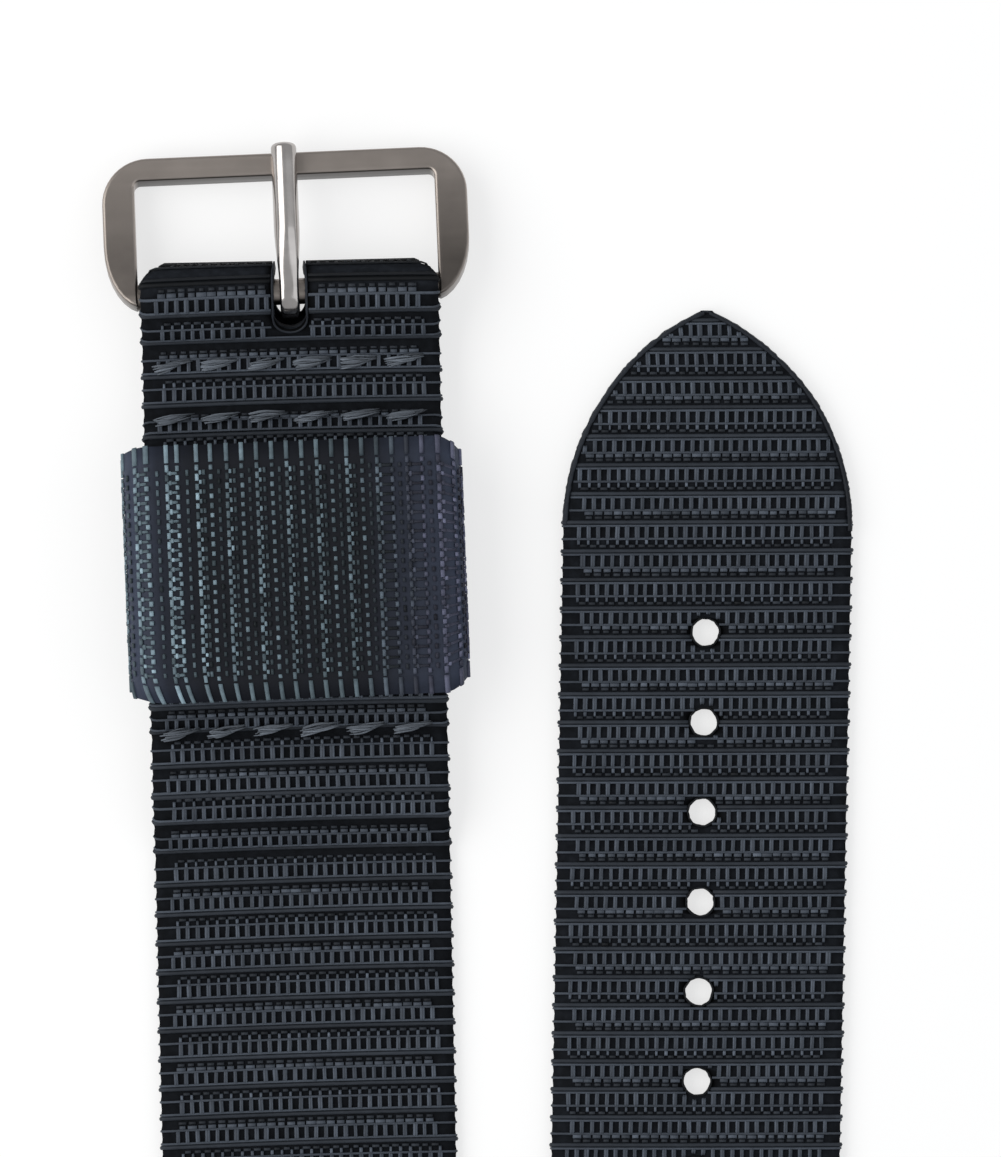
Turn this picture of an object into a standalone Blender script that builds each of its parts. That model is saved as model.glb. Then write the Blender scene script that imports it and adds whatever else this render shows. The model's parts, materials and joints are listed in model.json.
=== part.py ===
"""Single pass watch strap: one webbing strip with a sewn pin buckle, a keeper loop and a punched tip.

The strap lies with both ends side by side. Between them it twists onto its edge and turns round.
Metres, +Z up, +X along the buckle's heel bar, +Y from the strap towards the buckle.
The origin is the bottom centre of the whole part's box.
"""

import math

import bmesh
import bpy
from mathutils import Matrix, Vector

# Webbing strip
STRAP_WIDTH = 0.0200
STRAP_THICK = 0.0012
STRAP_EDGE = 0.0003  # rounding of the woven edges
TAIL_LENGTH = 0.0339  # the end folded back behind the buckle
LYING_LENGTH = 0.0640  # from the heel bar to the start of the twist
TWIST_LENGTH = 0.0600  # from lying flat to standing on edge
TIP_SIDE = 0.0287  # from the buckle's centre line to the point of the tip
TIP_DROP = 0.0019  # the point of the tip lies this far below the heel bar
TIP_LENGTH = 0.0150  # the pointed stretch of the tip
NOSE_HALF = 0.0004  # half of the blunt nose at the very point
BRANCH_ANGLE = math.radians(2.55)  # between the two lying ends

# Holes punched along the tip
HOLE_DIAMETER = 0.0019
HOLE_PITCH = 0.0062
FIRST_HOLE = 0.0222  # from the point of the tip
HOLE_COUNT = 10

# Fold round the heel bar
BAR_PLAY = 0.00015
FOLD_PINCH = 0.0013  # each woven edge draws in by this at the crown of the fold
FOLD_RUN = 0.0040  # the upper layer comes down to the tail over this length
SLOT_WIDTH = 0.0023
SLOT_REACH = 0.0026  # from the bar's centre to the slot's round end
LAYER_GAP = 0.00012
TAIL_COVER = 0.0004  # the upper layer stays level this far past the tail's end
DROP_RUN = 0.0047  # the upper layer comes down to the table over this length

# Stitch rows, measured from the bar's centre
ROW_FOLD = 0.0048
ROW_UPPER = 0.0085
ROW_LOWER = 0.0301
STITCH_FIRST = -0.00975
STITCH_PITCH = 0.0032
STITCH_COUNT = 6
STITCH_SLANT = 0.00025
THREAD_RADIUS = 0.0003
THREAD_GAP = 0.00005
LEG_OFFSET = 0.0004  # each thread leg stands this far from its needle hole's centre
LEG_BEND = 0.00035
NEEDLE_PLAY = 0.0001

# Keeper loop
KEEPER_LENGTH = 0.0179  # along the strap
KEEPER_PLACE = 0.01915  # from the bar's centre to the keeper's middle
KEEPER_THICK = 0.0009
KEEPER_PLAY = 0.00015  # above and below the panel between the layers
KEEPER_SIDE = 0.00085  # between the strap's edge and the loop
KEEPER_ROOM = 0.0013  # for the free end, under the front panel
KEEPER_FRONT_CORNER = 0.0023
KEEPER_BACK_CORNER = 0.0019
KEEPER_EDGE = 0.0005
KEEPER_EDGE_DROP = 0.0003
POCKET_RUN = 0.0027  # the layers part over this length
POCKET_INSET = 0.0004  # the parting starts this far before the row's middle

# Buckle frame
BAR_RADIUS = 0.0009
FRAME_REACH = 0.0099  # from the bar's centre to the top bar's outer edge
FRAME_HALF_THICK = 0.0010
TOP_BAR_WIDTH = 0.00166
ARM_PLAY = 0.0004  # between the strap's edge and the arm's foot
ARM_LEAN = 0.00015  # the arm's inner face leans in by this at the top
ARM_TOP_WIDTH = 0.00225
ARM_FOOT_WIDTH = 0.0019
TOP_CORNER = 0.0033
FOOT_CORNER_SIDE = 0.0028
FOOT_CORNER_RISE = 0.0035
INNER_CORNER = 0.0005
REST_GAP = 0.00005  # between the drooping top bar and the table

# Tongue
PIN_RADIUS = 0.00085
PIN_REACH = 0.0100
PIN_SEAT = 0.00015  # between the pin and the top bar
PIN_KINK = 0.0040  # from the bar's centre to the bend in the pin
PIN_NOSE = 0.0005
LOOP_HALF_THICK = 0.000425
LOOP_HALF_WIDTH = 0.000825
LOOP_PLAY = 0.00015
LOOP_END = math.radians(338.0)

# How finely the curves are drawn
EASE_STEPS = 8
FOLD_STEPS = 12
TWIST_STEPS = 24
TURN_STEPS = 20
TIP_STEPS = 12
CORNER_STEPS = 6
SECTION_SIDES = 16
HOLE_SIDES = 16
RAMP_SHARE = 0.2  # share of a twist over which it gathers pace
TABLE = 0.0
CUT_OVERRUN = 0.0010

UP = Vector((0.0, 0.0, 1.0))
ACROSS = Vector((1.0, 0.0, 0.0))

# Heights at the buckle end, worked out from the sizes above
THREAD_LIFT = 2.0 * (THREAD_RADIUS + THREAD_GAP)
TAIL_MIDDLE = THREAD_LIFT + STRAP_THICK / 2.0
FOLD_RADIUS = BAR_RADIUS + BAR_PLAY + STRAP_THICK / 2.0
BAR_HEIGHT = TAIL_MIDDLE + FOLD_RADIUS
CROWN_MIDDLE = BAR_HEIGHT + FOLD_RADIUS
SEWN_MIDDLE = TAIL_MIDDLE + STRAP_THICK + LAYER_GAP
POCKET_MIDDLE = TAIL_MIDDLE + STRAP_THICK + KEEPER_THICK + 2.0 * KEEPER_PLAY
LYING_MIDDLE = TABLE + STRAP_THICK / 2.0
SEAM_MIDDLE = (TAIL_MIDDLE + SEWN_MIDDLE) / 2.0


def eased(share):
    """A share from 0 to 1 that starts and ends level."""
    return share * share * (3.0 - 2.0 * share)


def ramped(share):
    """A share from 0 to 1 that runs straight but for its two ends."""
    full = 2.0 * RAMP_SHARE * (1.0 - RAMP_SHARE)
    if share < RAMP_SHARE:
        return share * share / full
    if share > 1.0 - RAMP_SHARE:
        return 1.0 - (1.0 - share) ** 2 / full
    return (share - RAMP_SHARE / 2.0) / (1.0 - RAMP_SHARE)


def between(low, high, share):
    return low + (high - low) * share


def upper_runs():
    """The upper layer's stretches: start, end and the middle height at each."""
    pocket_start = ROW_UPPER - POCKET_INSET
    pocket_end = ROW_LOWER + POCKET_INSET
    drop_start = TAIL_LENGTH + TAIL_COVER
    return [
        (0.0, FOLD_RUN, CROWN_MIDDLE, SEWN_MIDDLE),
        (FOLD_RUN, pocket_start, SEWN_MIDDLE, SEWN_MIDDLE),
        (pocket_start, pocket_start + POCKET_RUN, SEWN_MIDDLE, POCKET_MIDDLE),
        (pocket_start + POCKET_RUN, pocket_end - POCKET_RUN, POCKET_MIDDLE, POCKET_MIDDLE),
        (pocket_end - POCKET_RUN, pocket_end, POCKET_MIDDLE, SEWN_MIDDLE),
        (pocket_end, drop_start, SEWN_MIDDLE, SEWN_MIDDLE),
        (drop_start, drop_start + DROP_RUN, SEWN_MIDDLE, LYING_MIDDLE),
        (drop_start + DROP_RUN, LYING_LENGTH, LYING_MIDDLE, LYING_MIDDLE),
    ]


def upper_middle(distance):
    """Middle height of the upper layer at a distance from the bar's centre."""
    for start, end, low, high in upper_runs():
        if distance <= end:
            return between(low, high, eased((distance - start) / (end - start)))
    return LYING_MIDDLE


def upper_distances():
    """Distances at which the upper layer gets a section."""
    found = []
    for start, end, low, high in upper_runs():
        steps = EASE_STEPS if low != high else 2
        found += [between(start, end, step / steps) for step in range(steps)]
    return found[1:]


def standing_middle(lean):
    """Middle height of a strip that leans by an angle with its lower edge on the table."""
    return TABLE + STRAP_WIDTH / 2.0 * math.sin(lean) + STRAP_THICK / 2.0 * math.cos(lean)


def turned(heading, lean):
    """The face normal and the across direction of a strip that heads along the table."""
    outward = heading.cross(UP)
    normal = UP * math.cos(lean) + outward * math.sin(lean)
    return normal, normal.cross(heading)


def level_section(y, z, heading, half_width=STRAP_WIDTH / 2.0):
    """A section across X whose strip heads along a direction in the YZ plane."""
    normal = heading.cross(ACROSS)
    return (Vector((0.0, y, z)), normal, ACROSS.copy(), half_width)


def tail_sections():
    """The tail under the buckle end, up to the fold."""
    heading = Vector((0.0, 1.0, 0.0))
    steps = EASE_STEPS
    places = [between(-TAIL_LENGTH, 0.0, step / steps) for step in range(steps)]
    return [level_section(y, TAIL_MIDDLE, heading) for y in places]


def fold_sections():
    """The half turn round the heel bar."""
    found = []
    for step in range(FOLD_STEPS + 1):
        angle = between(-math.pi / 2.0, math.pi / 2.0, step / FOLD_STEPS)
        y = FOLD_RADIUS * math.cos(angle)
        z = BAR_HEIGHT + FOLD_RADIUS * math.sin(angle)
        heading = Vector((0.0, -math.sin(angle), math.cos(angle)))
        half_width = STRAP_WIDTH / 2.0 - FOLD_PINCH * math.cos(angle) ** 2
        found.append(level_section(y, z, heading, half_width))
    return found


def upper_sections():
    """The upper layer, from the fold to the start of the twist."""
    found = []
    nudge = STRAP_THICK / 100.0
    for distance in upper_distances():
        rise = upper_middle(distance + nudge) - upper_middle(distance - nudge)
        heading = Vector((0.0, -2.0 * nudge, rise)).normalized()
        found.append(level_section(-distance, upper_middle(distance), heading))
    return found


def right_line():
    """A point on the tip branch's centre line, and its heading towards the tip."""
    heading = Vector((math.sin(BRANCH_ANGLE), math.cos(BRANCH_ANGLE), 0.0))
    return Vector((TIP_SIDE, -TIP_DROP, 0.0)), heading


def turn_radius():
    """Radius of the turn that joins the two branches' centre lines."""
    tip, heading = right_line()
    start_y = -(LYING_LENGTH + TWIST_LENGTH)
    lean = heading.x / heading.y
    reach = tip.x + lean * (start_y - tip.y)
    return reach / (1.0 + heading.y + lean * heading.x)


def left_twist_sections():
    heading = Vector((0.0, -1.0, 0.0))
    found = []
    for step in range(TWIST_STEPS):
        share = step / TWIST_STEPS
        lean = math.pi / 2.0 * ramped(share)
        normal, across = turned(heading, lean)
        middle = Vector((0.0, -(LYING_LENGTH + TWIST_LENGTH * share), standing_middle(lean)))
        found.append((middle, normal, across, STRAP_WIDTH / 2.0))
    return found


def turn_sections():
    """The turn, with the strip on its edge."""
    radius = turn_radius()
    height = standing_middle(math.pi / 2.0)
    centre = Vector((radius, -(LYING_LENGTH + TWIST_LENGTH), height))
    found = []
    for step in range(TURN_STEPS + 1):
        angle = between(math.pi, 2.0 * math.pi - BRANCH_ANGLE, step / TURN_STEPS)
        outward = Vector((math.cos(angle), math.sin(angle), 0.0))
        found.append((centre + outward * radius, outward, UP.copy(), STRAP_WIDTH / 2.0))
    return found


def right_twist_sections(start):
    """The twist back onto the face, from a point on the tip branch's centre line."""
    heading = right_line()[1]
    found = []
    for step in range(1, TWIST_STEPS + 1):
        share = step / TWIST_STEPS
        lean = math.pi / 2.0 * (1.0 - ramped(share))
        normal, across = turned(heading, lean)
        middle = start + heading * (TWIST_LENGTH * share)
        middle.z = standing_middle(lean)
        found.append((middle, normal, across, STRAP_WIDTH / 2.0))
    return found


def tip_half_width(distance):
    """Half width of the pointed tip at a distance from its point: two arcs that meet there."""
    half = STRAP_WIDTH / 2.0
    radius = (TIP_LENGTH**2 + half**2) / STRAP_WIDTH
    back = TIP_LENGTH - min(distance, TIP_LENGTH)
    return max(math.sqrt(radius**2 - back**2) - (radius - half), NOSE_HALF)


def tip_sections():
    tip, heading = right_line()
    normal, across = turned(heading, 0.0)
    found = []
    for step in range(TIP_STEPS + 1):
        distance = TIP_LENGTH * (1.0 - step / TIP_STEPS) ** 2
        middle = tip - heading * distance
        middle.z = LYING_MIDDLE
        found.append((middle, normal, across, tip_half_width(distance)))
    return found


def strap_sections():
    """Every section of the strip in order: middle, face normal, across direction, half width."""
    turn = turn_sections()
    return (
        tail_sections()
        + fold_sections()
        + upper_sections()
        + left_twist_sections()
        + turn
        + right_twist_sections(turn[-1][0])
        + tip_sections()
    )


def webbing_ring(section):
    """The corners of one section, going round the strip."""
    middle, normal, across, half_width = section
    half = STRAP_THICK / 2.0
    edge = min(STRAP_EDGE, half_width / 2.0)
    inner = half_width - edge
    face = [-inner, -inner / 2.0, 0.0, inner / 2.0, inner]
    low = half - STRAP_EDGE
    corners = [(side, half) for side in face]
    corners += [(half_width, low), (half_width, -low)]
    corners += [(side, -half) for side in reversed(face)]
    corners += [(-half_width, -low), (-half_width, low)]
    return [middle + across * side + normal * rise for side, rise in corners]


def skin(name, rings, closed_loop):
    """A closed mesh over rings of corners: a tube with two caps, or a ring without an end."""
    shape = bmesh.new()
    rows = [[shape.verts.new(corner) for corner in ring] for ring in rings]
    pairs = list(zip(rows, rows[1:]))
    if closed_loop:
        pairs.append((rows[-1], rows[0]))
    for first, second in pairs:
        for index in range(len(first)):
            after = (index + 1) % len(first)
            shape.faces.new((first[index], first[after], second[after], second[index]))
    for row in (() if closed_loop else (rows[0], rows[-1])):
        centre = shape.verts.new(sum((corner.co for corner in row), Vector()) / len(row))
        for index in range(len(row)):
            shape.faces.new((row[index], row[(index + 1) % len(row)], centre))
    bmesh.ops.triangulate(shape, faces=shape.faces[:])
    bmesh.ops.recalc_face_normals(shape, faces=shape.faces[:])
    mesh = bpy.data.meshes.new(name)
    shape.to_mesh(mesh)
    shape.free()
    return mesh


def add_object(name, data):
    made = bpy.data.objects.new(name, data)
    bpy.context.scene.collection.objects.link(made)
    return made


def prism(shape, outline, low, high, place):
    """Adds a prism to a shape: an outline in X and Y, from low to high, put in place by a matrix."""
    bottom = [shape.verts.new(place @ Vector((x, y, low))) for x, y in outline]
    top = [shape.verts.new(place @ Vector((x, y, high))) for x, y in outline]
    count = len(outline)
    for index in range(count):
        after = (index + 1) % count
        shape.faces.new((bottom[index], bottom[after], top[after], top[index]))
    shape.faces.new(list(reversed(bottom)))
    shape.faces.new(top)


def circle_outline(radius):
    angles = [2.0 * math.pi * (side + 0.5) / HOLE_SIDES for side in range(HOLE_SIDES)]
    return [(radius * math.cos(angle), radius * math.sin(angle)) for angle in angles]


def slot_outline():
    """The tongue's slot from above: round at its lower end, open past the fold."""
    radius = SLOT_WIDTH / 2.0
    centre = -SLOT_REACH + radius
    steps = HOLE_SIDES // 2 + 1
    angles = [math.pi + math.pi * step / steps for step in range(steps + 1)]
    outline = [(radius * math.cos(angle), centre + radius * math.sin(angle)) for angle in angles]
    far = FOLD_RADIUS + STRAP_THICK / 2.0 + CUT_OVERRUN
    return outline + [(radius, far), (-radius, far)]


def leg_places():
    """Along a stitch row: the two legs of each stitch, as x and the side that it slants to."""
    found = []
    for stitch in range(STITCH_COUNT):
        start = STITCH_FIRST + stitch * STITCH_PITCH
        found.append((start + LEG_OFFSET, start + STITCH_PITCH - LEG_OFFSET))
    return found


def needle_outlines(row):
    """Needle holes of one row: one leg at each end of the row, two legs in each hole between."""
    room = THREAD_RADIUS + NEEDLE_PLAY
    legs = leg_places()
    spans = [(legs[0][0], legs[0][0])]
    spans += [(before[1], after[0]) for before, after in zip(legs, legs[1:])]
    spans.append((legs[-1][1], legs[-1][1]))
    tall = STITCH_SLANT + room
    found = []
    for low, high in spans:
        left = low - room
        right = high + room
        found.append([(left, -row - tall), (right, -row - tall), (right, -row + tall), (left, -row + tall)])
    return found


def length_from_tip(sections, distance):
    """The strip's middle, normal and across direction at a length from the point of the tip."""
    left = distance
    for after, before in zip(reversed(sections), reversed(sections[:-1])):
        step = (after[0] - before[0]).length
        if left <= step:
            share = left / step
            return [after[part].lerp(before[part], share) for part in range(3)]
        left -= step
    return list(sections[0][:3])


def add_cutters(sections):
    """One cutter for all the openings in the webbing: punched holes, needle holes and the slot."""
    shape = bmesh.new()
    for index in range(HOLE_COUNT):
        middle, normal, across = length_from_tip(sections, FIRST_HOLE + index * HOLE_PITCH)
        along = normal.cross(across)
        place = Matrix((across, along, normal)).transposed().to_4x4()
        place.translation = middle
        deep = STRAP_THICK / 2.0 + CUT_OVERRUN
        prism(shape, circle_outline(HOLE_DIAMETER / 2.0), -deep, deep, place)
    high = CROWN_MIDDLE + STRAP_THICK + CUT_OVERRUN
    low = TABLE - CUT_OVERRUN
    prism(shape, slot_outline(), low, high, Matrix.Identity(4))
    for row in (ROW_FOLD, ROW_UPPER, ROW_LOWER):
        for outline in needle_outlines(row):
            prism(shape, outline, low, high, Matrix.Identity(4))
    bmesh.ops.recalc_face_normals(shape, faces=shape.faces[:])
    mesh = bpy.data.meshes.new("webbing_openings")
    shape.to_mesh(mesh)
    shape.free()
    cutter = add_object("webbing_openings", mesh)
    cutter.hide_render = True
    cutter.display_type = "WIRE"
    return cutter


def add_webbing(material):
    sections = strap_sections()
    mesh = skin("strap_webbing", [webbing_ring(section) for section in sections], False)
    mesh.materials.append(material)
    strap = add_object("strap_webbing", mesh)
    cut = strap.modifiers.new("openings", "BOOLEAN")
    cut.operation = "DIFFERENCE"
    cut.solver = "EXACT"
    cut.object = add_cutters(sections)
    return strap


def squared(angle, power):
    """A point on a unit circle that a higher power draws out into a rounded square."""
    across = math.copysign(abs(math.cos(angle)) ** (2.0 / power), math.cos(angle))
    rise = math.copysign(abs(math.sin(angle)) ** (2.0 / power), math.sin(angle))
    return across, rise


def arc(centre, radii, start, end):
    """Points on an ellipse's arc, both ends included."""
    found = []
    for step in range(CORNER_STEPS + 1):
        angle = between(start, end, step / CORNER_STEPS)
        found.append((centre[0] + radii[0] * math.cos(angle), centre[1] + radii[1] * math.sin(angle)))
    return found


def frame_outlines():
    """The right half of the frame, from the heel bar up and round to the top bar's middle.

    Each entry is an outer point, an inner point and how far the section has turned from round to square.
    """
    foot_inner = STRAP_WIDTH / 2.0 + ARM_PLAY
    top_inner = foot_inner - ARM_LEAN
    top_outer = top_inner + ARM_TOP_WIDTH
    foot_outer = foot_inner + ARM_FOOT_WIDTH
    inner_reach = FRAME_REACH - TOP_BAR_WIDTH
    down, level, up = -math.pi / 2.0, 0.0, math.pi / 2.0
    outer_foot = arc(
        (foot_outer - FOOT_CORNER_SIDE, -BAR_RADIUS + FOOT_CORNER_RISE),
        (FOOT_CORNER_SIDE, FOOT_CORNER_RISE), down, level)
    inner_foot = arc(
        (foot_inner - INNER_CORNER, BAR_RADIUS + INNER_CORNER),
        (INNER_CORNER, INNER_CORNER), down, level)
    outer_top = arc(
        (top_outer - TOP_CORNER, FRAME_REACH - TOP_CORNER), (TOP_CORNER, TOP_CORNER), level, up)
    inner_top = arc(
        (top_inner - INNER_CORNER, inner_reach - INNER_CORNER),
        (INNER_CORNER, INNER_CORNER), level, up)
    entries = [((0.0, -BAR_RADIUS), (0.0, BAR_RADIUS), 0.0)]
    for index, (outer, inner) in enumerate(zip(outer_foot, inner_foot)):
        square = max(0.0, (index - 1.0) / (CORNER_STEPS - 1.0))
        entries.append((outer, inner, square))
    entries += [(outer, inner, 1.0) for outer, inner in zip(outer_top, inner_top)]
    entries.append(((0.0, FRAME_REACH), (0.0, inner_reach), 1.0))
    return entries


def frame_ring(entry, side):
    """One section of the frame, on the right side or mirrored to the left."""
    outer, inner, square = entry
    outer = Vector((side * outer[0], outer[1], 0.0))
    inner = Vector((side * inner[0], inner[1], 0.0))
    middle = (outer + inner) / 2.0
    reach = (outer - inner) / 2.0
    thick = between(BAR_RADIUS, FRAME_HALF_THICK, square)
    power = between(2.0, 6.0, square)
    corners = []
    for index in range(SECTION_SIDES):
        across, rise = squared(2.0 * math.pi * index / SECTION_SIDES, power)
        corners.append(middle + reach * across + UP * (rise * thick))
    return corners


def add_frame(material, holder):
    right = frame_outlines()
    rings = [frame_ring(entry, 1.0) for entry in right]
    rings += [frame_ring(entry, -1.0) for entry in reversed(right[1:-1])]
    mesh = skin("buckle_frame", rings, True)
    mesh.materials.append(material)
    frame = add_object("buckle_frame", mesh)
    frame.parent = holder
    return frame


def tongue_path():
    """The tongue's middle line in its own YZ plane, from the pin's end round the loop.

    Each entry is y, z, half thickness, half width and how far it has turned from wire to flat loop.
    """
    seat = FRAME_HALF_THICK + PIN_SEAT + PIN_RADIUS
    loop_radius = BAR_RADIUS + LOOP_PLAY + LOOP_HALF_THICK
    found = []
    for step in range(4):
        angle = math.pi / 2.0 * step / 3.0
        size = PIN_RADIUS * (0.35 + 0.65 * math.sin(angle))
        found.append((PIN_REACH - PIN_NOSE * (1.0 - math.cos(angle)), seat, size, size, 0.0))
    found.append(((PIN_REACH + PIN_KINK) / 2.0, seat, PIN_RADIUS, PIN_RADIUS, 0.0))
    for step in range(EASE_STEPS):
        share = step / EASE_STEPS
        flat = eased(share)
        found.append((
            PIN_KINK * (1.0 - share), between(seat, loop_radius, flat),
            between(PIN_RADIUS, LOOP_HALF_THICK, flat), between(PIN_RADIUS, LOOP_HALF_WIDTH, flat), flat))
    turns = 2 * FOLD_STEPS
    for step in range(turns + 1):
        angle = between(math.pi / 2.0, LOOP_END, step / turns)
        found.append((
            loop_radius * math.cos(angle), loop_radius * math.sin(angle),
            LOOP_HALF_THICK, LOOP_HALF_WIDTH, 1.0))
    return found


def add_tongue(material, holder):
    path = tongue_path()
    rings = []
    for index, (y, z, thick, wide, flat) in enumerate(path):
        before = path[max(index - 1, 0)]
        after = path[min(index + 1, len(path) - 1)]
        heading = Vector((0.0, after[0] - before[0], after[1] - before[1])).normalized()
        normal = heading.cross(ACROSS)
        power = between(2.0, 4.0, flat)
        ring = []
        for side in range(SECTION_SIDES):
            across, rise = squared(2.0 * math.pi * side / SECTION_SIDES, power)
            ring.append(Vector((0.0, y, z)) + ACROSS * (across * wide) + normal * (rise * thick))
        rings.append(ring)
    mesh = skin("buckle_tongue", rings, False)
    mesh.materials.append(material)
    tongue = add_object("buckle_tongue", mesh)
    tongue.parent = holder
    return tongue


def keeper_path():
    """The keeper's middle line round the strap: x, z and the outward direction at each point."""
    half = KEEPER_THICK / 2.0
    wide = STRAP_WIDTH / 2.0 + KEEPER_SIDE + half
    low = TAIL_MIDDLE + STRAP_THICK / 2.0 + KEEPER_PLAY + half
    high = POCKET_MIDDLE + STRAP_THICK / 2.0 + KEEPER_ROOM + half
    front = KEEPER_FRONT_CORNER - half
    back = KEEPER_BACK_CORNER - half
    corners = [
        (wide - back, low + back, back, -math.pi / 2.0),
        (wide - front, high - front, front, 0.0),
        (-wide + front, high - front, front, math.pi / 2.0),
        (-wide + back, low + back, back, math.pi),
    ]
    found = []
    for x, z, radius, start in corners:
        for step in range(CORNER_STEPS + 1):
            angle = start + math.pi / 2.0 * step / CORNER_STEPS
            outward = Vector((math.cos(angle), 0.0, math.sin(angle)))
            found.append((Vector((x, 0.0, z)) + outward * radius, outward))
    return found


def add_keeper(material):
    half = KEEPER_THICK / 2.0
    reach = KEEPER_LENGTH / 2.0
    thin = half - KEEPER_EDGE_DROP
    inner = reach - KEEPER_EDGE
    profile = [
        (-reach, -thin), (-inner, -half), (inner, -half), (reach, -thin),
        (reach, thin), (inner, half), (-inner, half), (-reach, thin)]
    rings = []
    for middle, outward in keeper_path():
        rings.append([middle + Vector((0.0, y, 0.0)) + outward * rise for y, rise in profile])
    mesh = skin("keeper_loop", rings, True)
    mesh.materials.append(material)
    keeper = add_object("keeper_loop", mesh)
    keeper.location = (0.0, -KEEPER_PLACE, 0.0)
    return keeper


def bend_points(corner, first, second, radius):
    """Three points that round a square corner between two directions."""
    centre = corner - first * radius + second * radius
    found = []
    for share in (0.0, 0.5, 1.0):
        angle = math.pi / 2.0 * share
        found.append(centre - second * (radius * math.cos(angle)) + first * (radius * math.sin(angle)))
    return found


def loop_points(start, end, side):
    """The bend inside a needle hole, from one leg to the next."""
    middle = (start + end) / 2.0
    reach = (start - end) / 2.0
    steps = 4
    found = []
    for step in range(steps + 1):
        angle = math.pi * step / steps
        found.append(middle + reach * math.cos(angle) - UP * (side * reach.length * math.sin(angle)))
    return found


def thread_path(row, side):
    """A row's thread: needle thread on side 1, bobbin thread on side -1."""
    reach = math.hypot(LEG_OFFSET, STITCH_SLANT)
    foot = SEAM_MIDDLE + side * (THREAD_RADIUS + THREAD_GAP + reach)
    spread = STITCH_SLANT + THREAD_RADIUS
    face = max(upper_middle(row - spread), upper_middle(row + spread)) if side > 0.0 else TAIL_MIDDLE
    run = face + side * (STRAP_THICK / 2.0 + THREAD_RADIUS + THREAD_GAP)
    rise = UP * side
    points = []
    legs = leg_places()
    for index, (start, end) in enumerate(legs):
        first = Vector((start, -row - STITCH_SLANT, run))
        last = Vector((end, -row + STITCH_SLANT, run))
        along = (last - first).normalized()
        if index == 0:
            points.append(Vector((start, -row - STITCH_SLANT, foot)))
        points += bend_points(first, rise, along, LEG_BEND)
        points += bend_points(last, along, -rise, LEG_BEND)
        low = Vector((end, -row + STITCH_SLANT, foot))
        if index + 1 < len(legs):
            following = Vector((legs[index + 1][0], -row - STITCH_SLANT, foot))
            points += loop_points(low, following, side)
        else:
            points.append(low)
    return points


def add_thread(name, row, side, material):
    curve = bpy.data.curves.new(name, "CURVE")
    curve.dimensions = "3D"
    curve.bevel_depth = THREAD_RADIUS
    curve.bevel_resolution = 1
    curve.use_fill_caps = True
    points = thread_path(row, side)
    line = curve.splines.new("POLY")
    line.points.add(len(points) - 1)
    for point, place in zip(line.points, points):
        point.co = (place.x, place.y, place.z, 1.0)
    curve.materials.append(material)
    return add_object(name, curve)


def add_threads(material):
    rows = {"fold": ROW_FOLD, "upper": ROW_UPPER, "lower": ROW_LOWER}
    for label, row in rows.items():
        add_thread("needle_thread_" + label, row, 1.0, material)
        add_thread("bobbin_thread_" + label, row, -1.0, material)


def make_material(name, colour, roughness, metallic):
    made = bpy.data.materials.new(name)
    made.use_nodes = True
    shader = made.node_tree.nodes["Principled BSDF"]
    shader.inputs["Base Color"].default_value = (*colour, 1.0)
    shader.inputs["Roughness"].default_value = roughness
    shader.inputs["Metallic"].default_value = metallic
    return made


def droop_angle():
    """How far the frame hangs so that its top bar lies just above the table."""
    drop = BAR_HEIGHT - TABLE - REST_GAP
    spoke = math.hypot(FRAME_REACH, FRAME_HALF_THICK)
    return math.asin(drop / spoke) - math.atan2(FRAME_HALF_THICK, FRAME_REACH)


def add_pivot():
    """The empty on the heel bar's axis that carries the frame and the tongue."""
    pivot = add_object("buckle_pivot", None)
    pivot.location = (0.0, 0.0, BAR_HEIGHT)
    pivot.rotation_euler = (-droop_angle(), 0.0, 0.0)
    return pivot


def shade_rounds():
    for made in bpy.context.scene.objects:
        if made.type == "MESH" and made.name != "webbing_openings":
            made.data.shade_smooth()
            made.data.set_sharp_from_angle(angle=math.radians(35.0))


def centre_on_origin():
    """Moves the whole part so that the bottom centre of its box is the origin."""
    bpy.context.view_layer.update()
    seen = bpy.context.evaluated_depsgraph_get()
    corners = []
    for made in bpy.context.scene.objects:
        if made.type in {"MESH", "CURVE"} and not made.hide_render:
            held = made.evaluated_get(seen)
            mesh = held.to_mesh()
            corners += [held.matrix_world @ vertex.co for vertex in mesh.vertices]
            held.to_mesh_clear()
    low = Vector([min(corner[axis] for corner in corners) for axis in range(3)])
    high = Vector([max(corner[axis] for corner in corners) for axis in range(3)])
    shift = Vector((-(low.x + high.x) / 2.0, -(low.y + high.y) / 2.0, -low.z))
    for made in bpy.context.scene.objects:
        if made.parent is None:
            made.location = made.location + shift
    bpy.context.view_layer.update()


def main():
    for old in list(bpy.data.objects):
        bpy.data.objects.remove(old)
    webbing = make_material("webbing", (0.022, 0.025, 0.031), 0.8, 0.0)
    keeper = make_material("keeper", (0.024, 0.029, 0.038), 0.75, 0.0)
    thread = make_material("thread", (0.07, 0.08, 0.09), 0.9, 0.0)
    steel = make_material("brushed_steel", (0.45, 0.42, 0.39), 0.38, 1.0)
    wire = make_material("polished_wire", (0.62, 0.58, 0.54), 0.18, 1.0)
    add_webbing(webbing)
    add_threads(thread)
    add_keeper(keeper)
    pivot = add_pivot()
    add_frame(steel, pivot)
    add_tongue(wire, pivot)
    shade_rounds()
    centre_on_origin()


main()
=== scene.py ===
import json
import math

import bpy
import numpy as np
from bpy.props import (
    FloatProperty, FloatVectorProperty, IntProperty, PointerProperty,
)
from bpy.types import Operator, Panel, PropertyGroup
from mathutils import Matrix, Vector


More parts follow.
